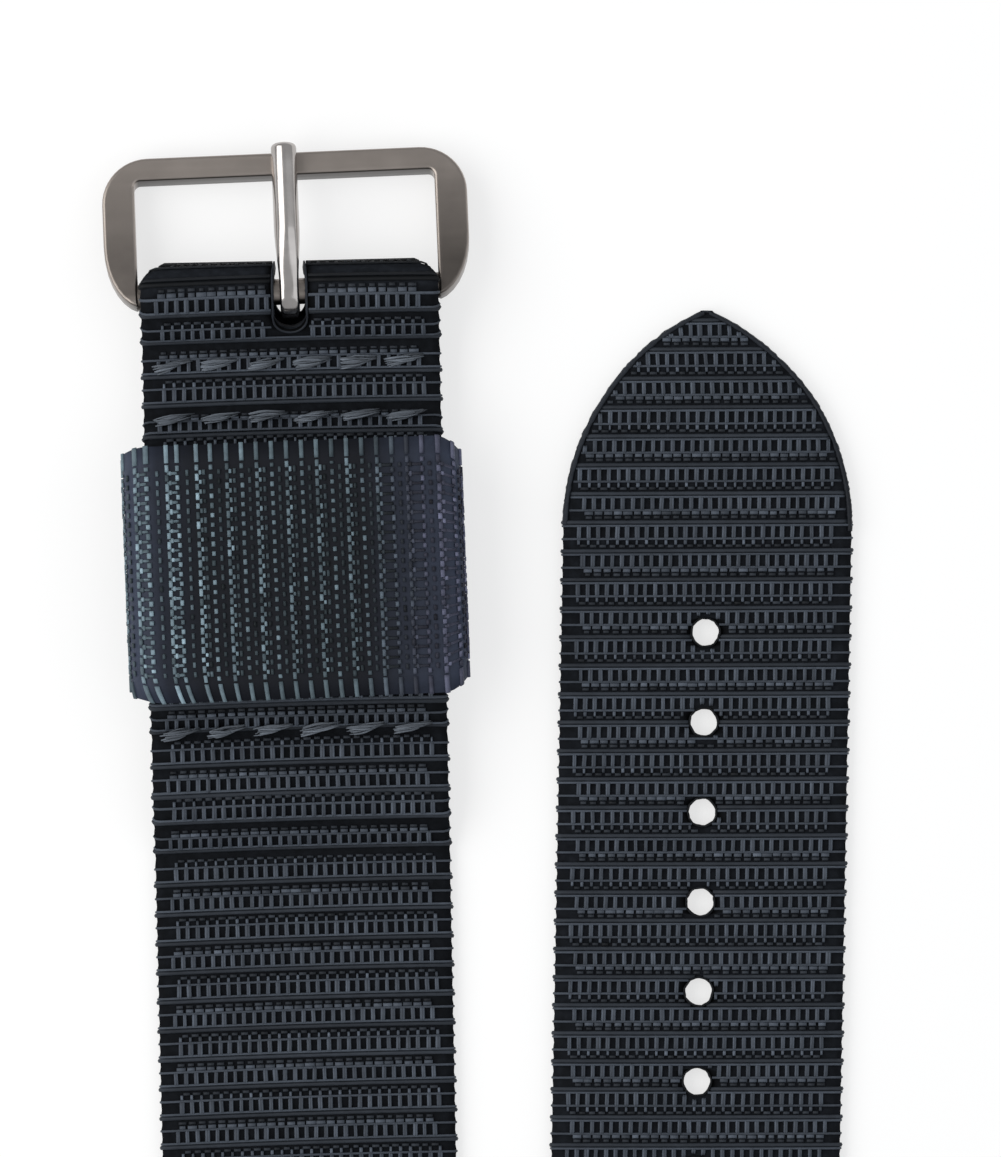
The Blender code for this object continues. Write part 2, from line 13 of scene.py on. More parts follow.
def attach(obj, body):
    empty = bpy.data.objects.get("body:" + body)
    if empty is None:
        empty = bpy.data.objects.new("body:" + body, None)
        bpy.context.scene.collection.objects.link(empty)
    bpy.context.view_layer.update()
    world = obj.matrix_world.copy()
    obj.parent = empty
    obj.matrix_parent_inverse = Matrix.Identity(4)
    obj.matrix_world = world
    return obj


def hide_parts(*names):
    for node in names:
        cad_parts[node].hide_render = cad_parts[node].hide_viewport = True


bl_info = {
    "name": "Single Pass Watch Strap",
    "version": (1, 0, 0),
    "blender": (4, 5, 0),
    "location": "View3D > Sidebar > Strap",
    "description": "Weaves, sews and finishes a single pass watch strap round its solids",
    "category": "Add Mesh",
}

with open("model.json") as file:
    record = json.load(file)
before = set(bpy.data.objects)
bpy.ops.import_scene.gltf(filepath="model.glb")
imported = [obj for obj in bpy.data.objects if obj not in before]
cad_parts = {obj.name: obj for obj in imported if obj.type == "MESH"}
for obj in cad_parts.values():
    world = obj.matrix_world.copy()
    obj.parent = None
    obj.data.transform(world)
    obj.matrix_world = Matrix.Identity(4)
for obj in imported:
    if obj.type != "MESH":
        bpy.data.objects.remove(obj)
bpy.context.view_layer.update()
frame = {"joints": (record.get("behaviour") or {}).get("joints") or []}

# The strip's route, the same as the solid's, in metres
STRAP_WIDTH = 0.0200
STRAP_THICK = 0.0012
TAIL_LENGTH = 0.0339
LYING_LENGTH = 0.0640
TWIST_LENGTH = 0.0600
TIP_SIDE = 0.0287
TIP_DROP = 0.0019
TIP_LENGTH = 0.0150
NOSE_HALF = 0.0004
BRANCH_ANGLE = math.radians(2.55)
NUDGE_RUN = 0.0060
HOLE_RADIUS = 0.00095
HOLE_PITCH = 0.0062
FIRST_HOLE = 0.0222
HOLE_COUNT = 10
BAR_RADIUS = 0.0009
BAR_PLAY = 0.00015
FOLD_PINCH = 0.0013
FOLD_RUN = 0.0040
SLOT_WIDTH = 0.0023
SLOT_REACH = 0.0026
LAYER_GAP = 0.00012
TAIL_COVER = 0.0004
DROP_RUN = 0.0047
RAMP_SHARE = 0.2

# Stitch rows and the keeper, the same as in the solids
ROW_FOLD = 0.0048
ROW_UPPER = 0.0085
ROW_LOWER = 0.0301
STITCH_FIRST = -0.00975
STITCH_PITCH = 0.0032
STITCH_COUNT = 6
STITCH_SLANT = 0.00025
THREAD_RADIUS = 0.0003
THREAD_GAP = 0.00005
LEG_OFFSET = 0.0004
KEEPER_LENGTH = 0.0179
KEEPER_PLACE = 0.01915
KEEPER_THICK = 0.0009
KEEPER_PLAY = 0.00015
KEEPER_SIDE = 0.00085
KEEPER_ROOM = 0.0013
KEEPER_FRONT_CORNER = 0.0023
KEEPER_BACK_CORNER = 0.0019
POCKET_RUN = 0.0027
POCKET_INSET = 0.0004

# The buckle, the same as in the solids
FRAME_HALF_THICK = 0.0010
REST_GAP = 0.00005
PIN_SEAT = 0.00015
PIN_KINK = 0.0040
LOOP_HALF_THICK = 0.000425
LOOP_PLAY = 0.00015
LOOP_END = math.radians(338.0)

# Heights that follow from them
HALF_WIDTH = STRAP_WIDTH / 2.0
HALF_THICK = STRAP_THICK / 2.0
TAIL_MIDDLE = 2.0 * (THREAD_RADIUS + THREAD_GAP) + HALF_THICK
FOLD_RADIUS = BAR_RADIUS + BAR_PLAY + HALF_THICK
FOLD_END = TAIL_LENGTH + math.pi * FOLD_RADIUS
BAR_HEIGHT = TAIL_MIDDLE + FOLD_RADIUS
CROWN_MIDDLE = BAR_HEIGHT + FOLD_RADIUS
SEWN_MIDDLE = TAIL_MIDDLE + STRAP_THICK + LAYER_GAP
POCKET_MIDDLE = TAIL_MIDDLE + STRAP_THICK + KEEPER_THICK + 2.0 * KEEPER_PLAY
DROP_START = TAIL_LENGTH + TAIL_COVER

# How finely the route and its yarns are followed
ROUTE_STEP = 0.00015
SIDES = 6
RAIL_STEP = 0.0013
EDGE_STEPS = 4
RIB_STEPS = 6
ARC_STEPS = 12
FOOT_STEPS = 7
NOSE_STEPS = 8
PIN_STEPS = 8
KINK_STEPS = 20
LOOP_STEPS = 36
HOLE_SIDES = 32
BAR_SIDES = 40
WIRE_SIDES = 32
GROUND_COLUMNS = 11
BAND_COLUMNS = 13
END_POINTS = 6
SEED = 11

# How finely the melted rims are followed
OUTLINE_POINTS = 90
OUTLINE_END = 0.0015  # the tip's outline is followed in finer steps past here
TIP_END_START = 0.0013
TIP_END_POINTS = 8
REACH_POINTS = 200
HOLE_POINTS = 28
SLOT_POINTS = 50
BEND_STEPS = 12
TAIL_POINTS = 44

# How many ribs lie in each stretch that the photograph shows
SEWN_RIBS = 3
KEEPER_RIBS = 12
DROP_RIBS = 5
LYING_RIBS = 11
TIP_RIBS = 30

# Shares of the yarn's colour that its parts show; the parts that lie lower than the floats are darker as
# painted shade
DASH_TONE_SHARE = 0.80
TICK_TONE_SHARE = 0.92
UNDER_TONE_SHARE = 0.30
LOWER_WEFT_TONE_SHARE = 0.66
UPPER_WEFT_TONE_SHARE = 0.76
FAINT_WEFT_TONE_SHARE = 0.36
# Painted shade over the fold
FOLD_SHADE_TONE_SHARE = 0.17

# Shares of the ground's colour, which is nearly black, that its parts show
GROUND_TONE_SHARE = 1.1
CROWN_TONE_SHARE = 2.2
TIP_TONE_SHARE = 1.5
HOLE_RIM_TONE_SHARE = 1.0
SLOT_RIM_TONE_SHARE = 3.0
TIP_RIM_TONE_SHARES = (4.5, 2.5)

# Shares by which the yarns differ from one another
FLOAT_WIDTH_SHARE = 0.09
FLOAT_WANDER_SHARE = 0.09
FLOAT_WAVE_SHARE = 0.05
FLOAT_LIFT_SHARE = 0.08
CELL_LENGTH_SHARE = 0.12
CELL_LENGTH_LIMIT_SHARES = (0.6, 1.4)
CELL_PLACE_SHARE = 0.08
CELL_LIFT_SHARE = 0.12
BEAD_LUMP_SHARE = 0.10
HOLE_LUMP_SHARE = 0.02

# Shares that shape the floats, the wefts and the dents of the stitch rows
FLOAT_DIVE_REACH_SHARE = 1.2
FLOAT_STRAND_TONE_SHARES = (0.72, 1.22)
# Painted shade in the groove between a float's two strands and on its low sides
FLOAT_GAP_TONE_SHARE = 0.55
FLOAT_SIDE_TONE_SHARE = 0.7
SHORTEST_SHARE = 1.6  # a yarn that an opening leaves shorter than this many half widths is left out
WEFT_RISE_SHARE = 0.8
PRESS_SHARE = 0.4

# How the sewn end's spread fades past it, in lengths of the lying strap
SPREAD_RUN = 2.4
SPREAD_END = 1.25

# Shares of a stitch over which its strands run, and how they differ
STRAND_BEGIN_SHARES = (0.0, 0.20)
SHORT_STRAND_END_SHARES = (0.55, 0.80)
LONG_STRAND_END_SHARES = (0.90, 1.0)
STRAND_REACH_SHARES = (0.15, 1.0)
STRAND_TWISTS = (1.0, 2.6)
STRAND_THICK_SHARES = (0.75, 1.3)
STRAND_TONE_SHARES = (0.7, 1.3)

# Depths of the finishes' relief
FILAMENT_DEPTH = 0.00003
GROUND_DEPTH = 0.00005
MELTED_DEPTH = 0.00006
KEEPER_DEPTH = 0.00004
STEEL_DEPTH = 0.00002

# Where finishes, the frame's painted shade and highlights, and the keeper's ladder change, from the
# middle of the heel bar
SLATE_START = 0.0045
SLATE_RUN = 0.0045
ARM_SIDE = 0.0125
ARM_TOP = 0.0096
ARM_RUN = 0.0076
FOOT_RUN = 0.0008
LADDER_START = 0.006
LADDER_RUN = 0.002

# The table, the lamps and the camera, in metres but for the sensor
TABLE_SIZE = 6.0
TABLE_DROP = 0.00002
KEY_PLACE = (-0.30, 0.08, 0.30)
KEY_SIZE = (0.50, 0.35)
FILL_PLACE = (0.30, 0.0, 0.35)
FILL_SIZE = (0.50, 0.60)
SENSOR_MM = 36.0
CLIP_NEAR = 0.01
CLIP_FAR = 10.0

UP = Vector((0.0, 0.0, 1.0))
ORIGIN = Vector(next(j for j in frame["joints"] if j["name"] == "frame_pivot")["pos_m"])
SHIFT = Vector((ORIGIN.x, ORIGIN.y, 0.0))


def length(name, description, default):
    """A length setting in metres."""
    return FloatProperty(
        name=name, description=description, default=default, precision=6, unit="LENGTH")


def number(name, description, default):
    """A plain number setting."""
    return FloatProperty(name=name, description=description, default=default)


def angle(name, description, degrees):
    """An angle setting."""
    return FloatProperty(
        name=name, description=description, default=math.radians(degrees), subtype="ANGLE")


def colour(name, description, default):
    """A colour setting."""
    return FloatVectorProperty(
        name=name, description=description, subtype="COLOR", size=3, default=default)


class WeaveSizes(PropertyGroup):
    """Sizes of the strap's ribbed weave."""
    first_rib: length("First rib", "From the heel bar to the first rib past the fold", 0.00288)
    sewn_pitch: length("Rib pitch by the fold", "Rib pitch of the sewn end", 0.00200)
    keeper_pitch: length("Rib pitch under the keeper", "Rib pitch under the keeper", 0.002069)
    drop_pitch: length("Rib pitch past the sewing", "Rib pitch where the strap drops", 0.002048)
    lying_pitch: length("Rib pitch", "Rib pitch of the lying strap", 0.002003)
    tip_rib: length("Tip rib", "From the point of the tip to its first rib", 0.00136)
    tip_pitch: length("Rib pitch at the tip", "Rib pitch next to the tip", 0.0019966)
    tightening: length("Tightening", "How much each rib away from the tip closes up", 0.00000117)
    cell_pitch: length("Cell pitch", "Pitch of the floats across the strap", 0.00067)
    cells: IntProperty(name="Cells", description="Windows across the strap in each rib", default=26)
    float_half: length("Float half width", "Half width of one lengthwise float", 0.00016)
    float_reach: length("Float reach", "Half length of one lengthwise float", 0.00051)
    float_height: length("Float height", "Height of a float's back above the middle", 0.00060)
    rail_place: length("Weft place", "From a rib's middle to the weft on each side", 0.00045)
    rail_half: length("Weft half width", "Half width of a weft yarn", 0.00009)
    rail_height: length("Weft height", "Height of a weft yarn's back above the middle", 0.00052)
    dash_place: length("Binder place", "From a rib's middle to its broad binder floats", 0.00064)
    dash_half: length("Binder half width", "Half width of a binder float along the strap", 0.00014)
    dash_reach: length("Binder reach", "Half length of a broad binder float", 0.00027)
    dash_height: length("Binder height", "Height of a binder's back above the middle", 0.00049)
    tick_place: length("Tick place", "From a rib's middle to its narrow binder floats", 0.00067)
    tick_half: length("Tick half length", "Half length of a narrow binder along the strap", 0.00019)
    tick_reach: length("Tick reach", "Half width of a narrow binder across the strap", 0.00009)
    under_place: length("Lower cell place", "From a rib's middle to the faint cells behind it", 0.00094)
    under_half: length("Lower cell half width", "Half width of a faint cell", 0.00011)
    under_height: length("Lower cell height", "Height of a faint lower cell", 0.00043)
    shade_place: length("Faint weft place", "From a rib's middle to its faint weft", 0.00069)
    shade_half: length("Faint weft half width", "Half width of the faint weft", 0.00016)
    shade_height: length("Faint weft height", "Height of the faint weft's back", 0.00043)
    ground_height: length("Ground height", "Middle height of the dark ground", 0.00033)
    ground_relief: length("Ground relief", "How far the ground rises with each rib", 0.00006)
    rim: length("Rim", "Sealed rim round the holes and the slot", 0.00012)
    tip_rim: length("Tip rim", "Sealed band along the tip's outline", 0.00034)
    crown_end: length("Crown end", "How far before the fold's end it is pressed smooth", 0.00036)
    lower_slot: length("Lower slot", "How far the slot reaches in the lower layer", 0.00170)
    sewn_spread: number("Sewn spread", "How much wider the sewn end lies than the tip", 0.030)
    first_slant: number("Slant by the buckle", "Slope of the weft by the buckle", 0.005)
    last_slant: number("Slant by the tip", "Slope of the weft by the tip", 0.028)
    bow: number("Bow", "How the weft bows by the buckle, per metre", 1.05)
    nudge: length("Tip nudge", "How far right the strap lies behind the tip's point", 0.00034)
    swing: angle("Tip swing", "How much more upright the tip's branch lies", 0.2)


class KeeperSizes(PropertyGroup):
    """Sizes of the keeper's weave."""
    rib_count: IntProperty(name="Ribs", description="Ribs round the keeper", default=24)
    first_line: length("First line", "From the keeper's middle to a weft line", 0.00030)
    dot_place: length("Dot place", "From a weft line to its line of dots", 0.00104)
    ladder: number("Ladder", "How much closer the two lie on the left side", 0.30)
    cell_pitch: length("Cell pitch", "Pitch of the floats along a rib", 0.00066)
    cells: IntProperty(name="Cells", description="Windows along each rib", default=23)
    line_half: length("Line half width", "Half width of a weft line's cells", 0.00013)
    dot_half: length("Dot half width", "Half width of a dot", 0.00013)
    dot_reach: length("Dot reach", "Half length of a dot", 0.00016)
    faint_share: number("Faint share", "Tone of the cells between the lines, against the lines", 0.34)
    bare_middle: length("Bare middle", "How far left the middle of the ribs without rungs lies", 0.0005)
    bare_half: length("Bare half", "Half width of the front whose ribs have no rungs", 0.0062)
    rung_half: length("Rung half width", "Half width of a rung", 0.00010)
    rung_depth: length("Rung depth", "How far a rung lies below the lines", 0.00004)
    selvedge: length("Selvedge", "Length of the plain yarns at both ends", 0.00125)
    left_round: length("Left rounding", "How far the left shoulder draws in the ends", 0.00050)
    right_round: length("Right rounding", "How far the right shoulder draws in the ends", 0.00110)
    back_share: number("Back share", "How much of its length the keeper keeps between the layers", 0.955)
    flat_half: length("Flat half", "Half width of the keeper's flat front", 0.0098)
    end_lean: length("End lean", "How far the lower ends lean at the left", 0.0006)
    turn: angle("Turn", "Turn of the keeper against the strap", 1.0)


class ThreadSizes(PropertyGroup):
    """Sizes of the sewing thread."""
    strands: IntProperty(name="Strands", description="Strands in one stitch", default=15)
    strand_radius: length("Strand radius", "Radius of one strand", 0.000065)
    half_width: length("Half width", "Half width of a stitch", 0.00038)
    half_height: length("Half height", "Half height of a stitch", 0.00018)


class FrameSizes(PropertyGroup):
    """Sizes of the buckle's visible steel."""
    reach: length("Reach", "From the heel bar to the top bar's outer edge", 0.00962)
    bar_width: length("Bar width", "Width of the top bar", 0.00159)
    outer_half: length("Outer half", "Half width of the frame", 0.01258)
    inner_half: length("Inner half", "Half width of the opening", 0.01036)
    top_corner: length("Top corner", "Radius of the top's outer corners", 0.0032)
    inner_corner: length("Inner corner", "Radius of the inner corners", 0.00045)
    foot_side: length("Foot side", "Sideways radius of the foot", 0.0028)
    foot_rise: length("Foot rise", "Lengthwise radius of the foot", 0.0044)
    foot_drop: length("Foot drop", "How far the foot reaches below the bar's middle", 0.00095)
    edge: length("Edge", "Rounding of the frame's edges", 0.00020)
    margin: length("Margin", "Thin strip that keeps the faces' shading flat", 0.00003)
    offset: length("Offset", "How far the frame sits to the left on its bar", 0.00008)
    pin_reach: length("Pin reach", "From the heel bar to the pin's end", 0.00998)
    pin_half: length("Pin half width", "Half width of the pin at its end", 0.00088)
    foot_half: length("Loop half width", "Half width of the pin's loop", 0.00066)
    nose: length("Nose", "Rounding of the pin's end", 0.00035)
    turn: angle("Turn", "Turn of the buckle against the strap", 1.2)


class StrapColours(PropertyGroup):
    """Colours of the cloth and the steel."""
    yarn: colour("Yarn", "Colour of the strap's light yarns", (0.069, 0.082, 0.104))
    # The grounds between the yarns are the fibres' own dark colour with painted shade added
    ground: colour("Ground", "Colour between the strap's yarns", (0.0053, 0.0062, 0.0080))
    keeper_yarn: colour("Keeper yarn", "Colour of the keeper's light yarns", (0.116, 0.160, 0.188))
    keeper_slate: colour("Keeper slate", "Colour of the keeper's sides", (0.085, 0.090, 0.135))
    keeper_ground: colour("Keeper ground", "Colour between the keeper's yarns", (0.0049, 0.0061, 0.0098))
    thread: colour("Thread", "Colour of the sewing thread", (0.100, 0.115, 0.137))
    steel: colour("Frame steel", "Colour of the brushed frame", (0.290, 0.257, 0.234))
    wire: colour("Tongue steel", "Colour of the polished tongue", (0.47, 0.445, 0.43))


class StageSizes(PropertyGroup):
    """The camera and the lamps."""
    view_middle: FloatVectorProperty(
        name="View middle", description="Point of the table in the middle of the picture",
        size=3, subtype="TRANSLATION", default=(0.001309, 0.042913, 0.0012))
    view_height: length("View height", "Length that the picture's height takes in", 0.0798)
    camera_height: length("Camera height", "From the strap's face up to the camera", 0.900)
    camera_turn: angle("Camera turn", "Turn of the picture against the strap", 1.27)
    key_power: number("Key lamp", "Power of the large lamp, in watts", 1.50)
    fill_power: number("Fill lamp", "Power of the lamp across from it, in watts", 0.62)
    world_level: number("Room light", "Level of the even light all round", 0.52)
    floor_share: number("Floor glow", "Share of the floor that shows plain white", 0.65)


def eased(share):
    """A share from 0 to 1 that starts and ends level."""
    return share * share * (3.0 - 2.0 * share)


def ramped(share):
    """A share from 0 to 1 that runs straight but for its two ends."""
    full = 2.0 * RAMP_SHARE * (1.0 - RAMP_SHARE)
    if share < RAMP_SHARE:
        return share * share / full
    if share > 1.0 - RAMP_SHARE:
        return 1.0 - (1.0 - share) ** 2 / full
    return (share - RAMP_SHARE / 2.0) / (1.0 - RAMP_SHARE)


def upper_middle(distance):
    """Middle height of the strap's upper layer at a distance from the heel bar."""
    pocket_start = ROW_UPPER - POCKET_INSET
    pocket_end = ROW_LOWER + POCKET_INSET
    runs = (
        (0.0, FOLD_RUN, CROWN_MIDDLE, SEWN_MIDDLE),
        (pocket_start, pocket_start + POCKET_RUN, SEWN_MIDDLE, POCKET_MIDDLE),
        (pocket_end - POCKET_RUN, pocket_end, POCKET_MIDDLE, SEWN_MIDDLE),
        (DROP_START, DROP_START + DROP_RUN, SEWN_MIDDLE, HALF_THICK),
    )
    height = CROWN_MIDDLE
    for start, end, low, high in runs:
        share = min(max((distance - start) / (end - start), 0.0), 1.0)
        height += (high - low) * eased(share)
    return height


def steps_between(start, end):
    """Even steps from a start towards an end, about one route step apart."""
    count = max(2, int(abs(end - start) / ROUTE_STEP))
    return [start + (end - start) * step / count for step in range(count)]


def tip_half_width(distance):
    """Half width of the pointed tip at a distance from its point."""
    radius = (TIP_LENGTH ** 2 + HALF_WIDTH ** 2) / STRAP_WIDTH
    back = TIP_LENGTH - np.clip(distance, 0.0, TIP_LENGTH)
    return np.maximum(np.sqrt(radius ** 2 - back ** 2) - (radius - HALF_WIDTH), NOSE_HALF)


class Route:
    """A strip's middle line with its directions, so that flat cloth can be laid along it."""

    def __init__(self, entries, closed=False):
        if closed:
            entries = entries + entries[:1]
        self.middle = np.array([entry[0] for entry in entries])
        self.normal = np.array([entry[1] for entry in entries])
        self.across = np.array([entry[2] for entry in entries])
        self.squeeze = np.array([entry[3] for entry in entries])
        steps = np.linalg.norm(np.diff(self.middle, axis=0), axis=1)
        self.at = np.concatenate([[0.0], np.cumsum(steps)])
        self.length = float(self.at[-1])
        self.closed = closed

    def read(self, along, values):
        """One of the route's directions or places at lengths along it."""
        columns = [np.interp(along, self.at, values[:, axis]) for axis in range(3)]
        return np.stack(columns, axis=1)

    def lay(self, flat):
        """Places of flat points: length along, distance across and height off the middle."""
        along = flat[:, 0] % self.length if self.closed else flat[:, 0]
        across = self.read(along, self.across)
        normal = self.read(along, self.normal)
        across /= np.linalg.norm(across, axis=1)[:, None]
        normal /= np.linalg.norm(normal, axis=1)[:, None]
        sideways = flat[:, 1] * np.interp(along, self.at, self.squeeze)
        middle = self.read(along, self.middle)
        return middle + across * sideways[:, None] + normal * flat[:, 2][:, None]

    def place(self, along):
        """A matrix at a length along the strip: across, along and out of its face."""
        point, side, rise = self.lay(np.array([
            (along, 0.0, 0.0), (along, HALF_THICK, 0.0), (along, 0.0, HALF_THICK)]))
        x = Vector(side - point).normalized()
        z = Vector(rise - point).normalized()
        made = Matrix((x, z.cross(x), z)).transposed().to_4x4()
        made.translation = point
        return made


def level_entry(y, z, heading, squeeze=1.0):
    """A route entry whose strip lies square across the heel bar's direction."""
    across = Vector((1.0, 0.0, 0.0))
    return (Vector((0.0, y, z)) + SHIFT, heading.cross(across), across, squeeze)


def sewn_entries():
    """The tail, the fold round the heel bar and the upper layer."""
    found = [level_entry(y, TAIL_MIDDLE, Vector((0.0, 1.0, 0.0)))
             for y in steps_between(-TAIL_LENGTH, 0.0)]
    for along in steps_between(0.0, math.pi * FOLD_RADIUS):
        turn = along / FOLD_RADIUS - math.pi / 2.0
        heading = Vector((0.0, -math.sin(turn), math.cos(turn)))
        squeeze = 1.0 - FOLD_PINCH * math.cos(turn) ** 4 / HALF_WIDTH
        found.append(level_entry(
            FOLD_RADIUS * math.cos(turn), BAR_HEIGHT + FOLD_RADIUS * math.sin(turn),
            heading, squeeze))
    nudge = ROUTE_STEP / 10.0
    for distance in steps_between(0.0, LYING_LENGTH):
        rise = upper_middle(distance + nudge) - upper_middle(distance - nudge)
        heading = Vector((0.0, -2.0 * nudge, rise)).normalized()
        found.append(level_entry(-distance, upper_middle(distance), heading))
    return found


def leaning_entry(point, heading, lean):
    """A route entry of a strip that leans with its lower edge on the table."""
    outward = heading.cross(UP)
    normal = UP * math.cos(lean) + outward * math.sin(lean)
    height = HALF_WIDTH * math.sin(lean) + HALF_THICK * math.cos(lean)
    middle = Vector((point.x, point.y, height)) + SHIFT
    return (middle, normal, normal.cross(heading), 1.0)


def strap_route(sizes):
    """The whole strip from the tail's end to the point of the tip."""
    found = sewn_entries()
    down = Vector((0.0, -1.0, 0.0))
    for along in steps_between(0.0, TWIST_LENGTH):
        lean = math.pi / 2.0 * ramped(along / TWIST_LENGTH)
        found.append(leaning_entry(Vector((0.0, -LYING_LENGTH - along, 0.0)), down, lean))
    tip = Vector((TIP_SIDE, -TIP_DROP, 0.0))
    heading = Vector((math.sin(BRANCH_ANGLE), math.cos(BRANCH_ANGLE), 0.0))
    start_y = -LYING_LENGTH - TWIST_LENGTH
    slope = heading.x / heading.y
    radius = (tip.x + slope * (start_y - tip.y)) / (1.0 + heading.y + slope * heading.x)
    centre = Vector((radius, start_y, 0.0))
    sweep = math.pi - BRANCH_ANGLE
    for along in steps_between(0.0, radius * sweep):
        turn = math.pi + along / radius
        outward = Vector((math.cos(turn), math.sin(turn), 0.0))
        found.append(leaning_entry(centre + outward * radius, UP.cross(outward), math.pi / 2.0))
    turn = math.pi + sweep
    start = centre + Vector((math.cos(turn), math.sin(turn), 0.0)) * radius
    for along in steps_between(0.0, TWIST_LENGTH):
        lean = math.pi / 2.0 * (1.0 - ramped(along / TWIST_LENGTH))
        found.append(leaning_entry(start + heading * along, heading, lean))
    flat_start = start + heading * TWIST_LENGTH
    left = (tip - flat_start).length
    for along in steps_between(0.0, left):
        found.append(leaning_entry(flat_start + heading * along, heading, 0.0))
    found.append(leaning_entry(tip, heading, 0.0))
    made = Route(found)
    past = np.clip((made.at - FOLD_END) / LYING_LENGTH, 0.0, SPREAD_RUN)
    held = np.clip((made.at - TAIL_LENGTH) / FOLD_RADIUS, 0.0, 1.0)
    held = held * np.clip((SPREAD_END - past) / (SPREAD_END - 1.0), 0.0, 1.0)
    made.squeeze *= 1.0 + sizes.sewn_spread * (1.0 - past / SPREAD_RUN) * held
    left = made.length - made.at
    moved = sizes.nudge * np.clip(left / NUDGE_RUN, 0.0, 1.0) + math.tan(sizes.swing) * left
    moved = moved * np.clip(2.0 - left / LYING_LENGTH, 0.0, 1.0)
    right = np.array([math.cos(BRANCH_ANGLE), -math.sin(BRANCH_ANGLE), 0.0])
    made.middle = made.middle + right * moved[:, None]
    return made


def keeper_route():
    """The keeper's middle line round the strap, over its front from right to left."""
    half = KEEPER_THICK / 2.0
    wide = HALF_WIDTH + KEEPER_SIDE + half
    low = TAIL_MIDDLE + HALF_THICK + KEEPER_PLAY + half
    high = POCKET_MIDDLE + HALF_THICK + KEEPER_ROOM + half
    front = KEEPER_FRONT_CORNER - half
    back = KEEPER_BACK_CORNER - half
    corners = (
        (wide - back, low + back, back, -math.pi / 2.0),
        (wide - front, high - front, front, 0.0),
        (-wide + front, high - front, front, math.pi / 2.0),
        (-wide + back, low + back, back, math.pi),
    )
    place = SHIFT + Vector((0.0, -KEEPER_PLACE, 0.0))
    points = []
    for x, z, radius, start in corners:
        for along in steps_between(0.0, radius * math.pi / 2.0) + [radius * math.pi / 2.0]:
            turn = start + along / radius
            outward = Vector((math.cos(turn), 0.0, math.sin(turn)))
            points.append((Vector((x, 0.0, z)) + outward * radius + place, outward))
    across = Vector((0.0, -1.0, 0.0))
    found = []
    for index, (point, outward) in enumerate(points):
        found.append((point, outward, across, 1.0))
        after, after_outward = points[(index + 1) % len(points)]
        gap = (after - point).length
        for step in range(1, int(gap / ROUTE_STEP)):
            part = step * ROUTE_STEP / gap
            turned = outward.lerp(after_outward, part).normalized()
            found.append((point.lerp(after, part), turned, across, 1.0))
    return Route(found, closed=True)


def length_of_distance(route, distance, rise=0.0):
    """Length along the strap where a height above its middle is at a distance from the heel bar."""
    upper = (route.at > TAIL_LENGTH + FOLD_RADIUS) & (route.at < FOLD_END + 2.0 * LYING_LENGTH)
    places = SHIFT.y - route.middle[upper, 1] - rise * route.normal[upper, 1]
    order = np.argsort(places)
    return np.interp(distance, places[order], route.at[upper][order])


class Ribs:
    """Where the ribs' middles are along a strip, and which of the two kinds each one is."""

    def __init__(self, places, kinds):
        self.places = np.asarray(places)
        self.kinds = np.asarray(kinds)

    def phase(self, along):
        """Rib number with its fraction at a length along the strip."""
        count = len(self.places)
        first = self.places[0] - (self.places[1] - self.places[0]) * 2.0
        last = self.places[-1] + (self.places[-1] - self.places[-2]) * 2.0
        places = np.concatenate([[first], self.places, [last]])
        numbers = np.concatenate([[-2.0], np.arange(count), [count + 1.0]])
        return np.interp(along, places, numbers)


def strap_ribs(route, sizes):
    """The strap's ribs: spaced as seen from above at both ends, evenly round the turn."""
    pitches = (
        [sizes.sewn_pitch] * SEWN_RIBS + [sizes.keeper_pitch] * KEEPER_RIBS
        + [sizes.drop_pitch] * DROP_RIBS + [sizes.lying_pitch] * LYING_RIBS)
    seen = sizes.first_rib - sizes.sewn_pitch + np.concatenate([[0.0], np.cumsum(pitches)])
    left = length_of_distance(route, seen, sizes.float_height)
    folded = np.arange(left[0] - sizes.sewn_pitch, sizes.sewn_pitch / 2.0, -sizes.sewn_pitch)
    numbers = np.arange(TIP_RIBS)
    right = sizes.tip_rib + sizes.tip_pitch * numbers - sizes.tightening * numbers ** 2
    right = route.length - right[::-1]
    gap = right[0] - left[-1]
    count = 2 * round(gap / sizes.lying_pitch / 2.0)
    middle = left[-1] + gap * np.arange(1, count) / count
    places = np.concatenate([folded[::-1], left, middle, right])
    kinds = (np.arange(len(places)) + len(folded)) % 2
    return Ribs(places, kinds)


def slanted_by(route, sizes, along, across):
    """How far the weft runs ahead along the strip, because it lies slightly aslant and bowed."""
    part = np.clip((along - TAIL_LENGTH) / (route.length - TAIL_LENGTH), 0.0, 1.0)
    slant = sizes.first_slant + (sizes.last_slant - sizes.first_slant) * part
    hold = np.clip(along / sizes.sewn_pitch, 0.0, 1.0)
    return hold * (sizes.bow * (1.0 - part) * across ** 2 - slant * across)


def reach_at(route, sizes, along, side):
    """Half width of one side of the strip where a slanting weft yarn meets its outline."""
    half = np.full(np.shape(along), HALF_WIDTH)
    for _ in range(6):
        ahead = slanted_by(route, sizes, along, side * half)
        half = tip_half_width(route.length - along - ahead)
    return half


def slanted(route, sizes, flat):
    """Moves flat points along the strip with the slanting weft."""
    made = flat.copy()
    made[:, 0] += slanted_by(route, sizes, flat[:, 0], flat[:, 1])
    return made


def pressed(flat, rows):
    """Draws the face in where the stitch rows pull on it."""
    made = flat.copy()
    for row in rows:
        near = np.exp(-((flat[:, 0] - row) / (2.0 * THREAD_RADIUS)) ** 2)
        inside = np.clip((HALF_WIDTH - np.abs(flat[:, 1])) / STRAP_THICK, 0.0, 1.0)
        made[:, 2] -= np.sign(flat[:, 2]) * PRESS_SHARE * THREAD_RADIUS * near * inside
    return made


def ring_quads(rings, sides, closed=False):
    """Quads between rings of points, and back to the first ring where the run is closed."""
    spans = np.arange(rings if closed else rings - 1)[:, None]
    side = np.arange(sides)
    after = (side + 1) % sides
    following = (spans + 1) % rings
    return np.stack([
        spans * sides + side, spans * sides + after,
        following * sides + after, following * sides + side], axis=-1).reshape(-1, 4)


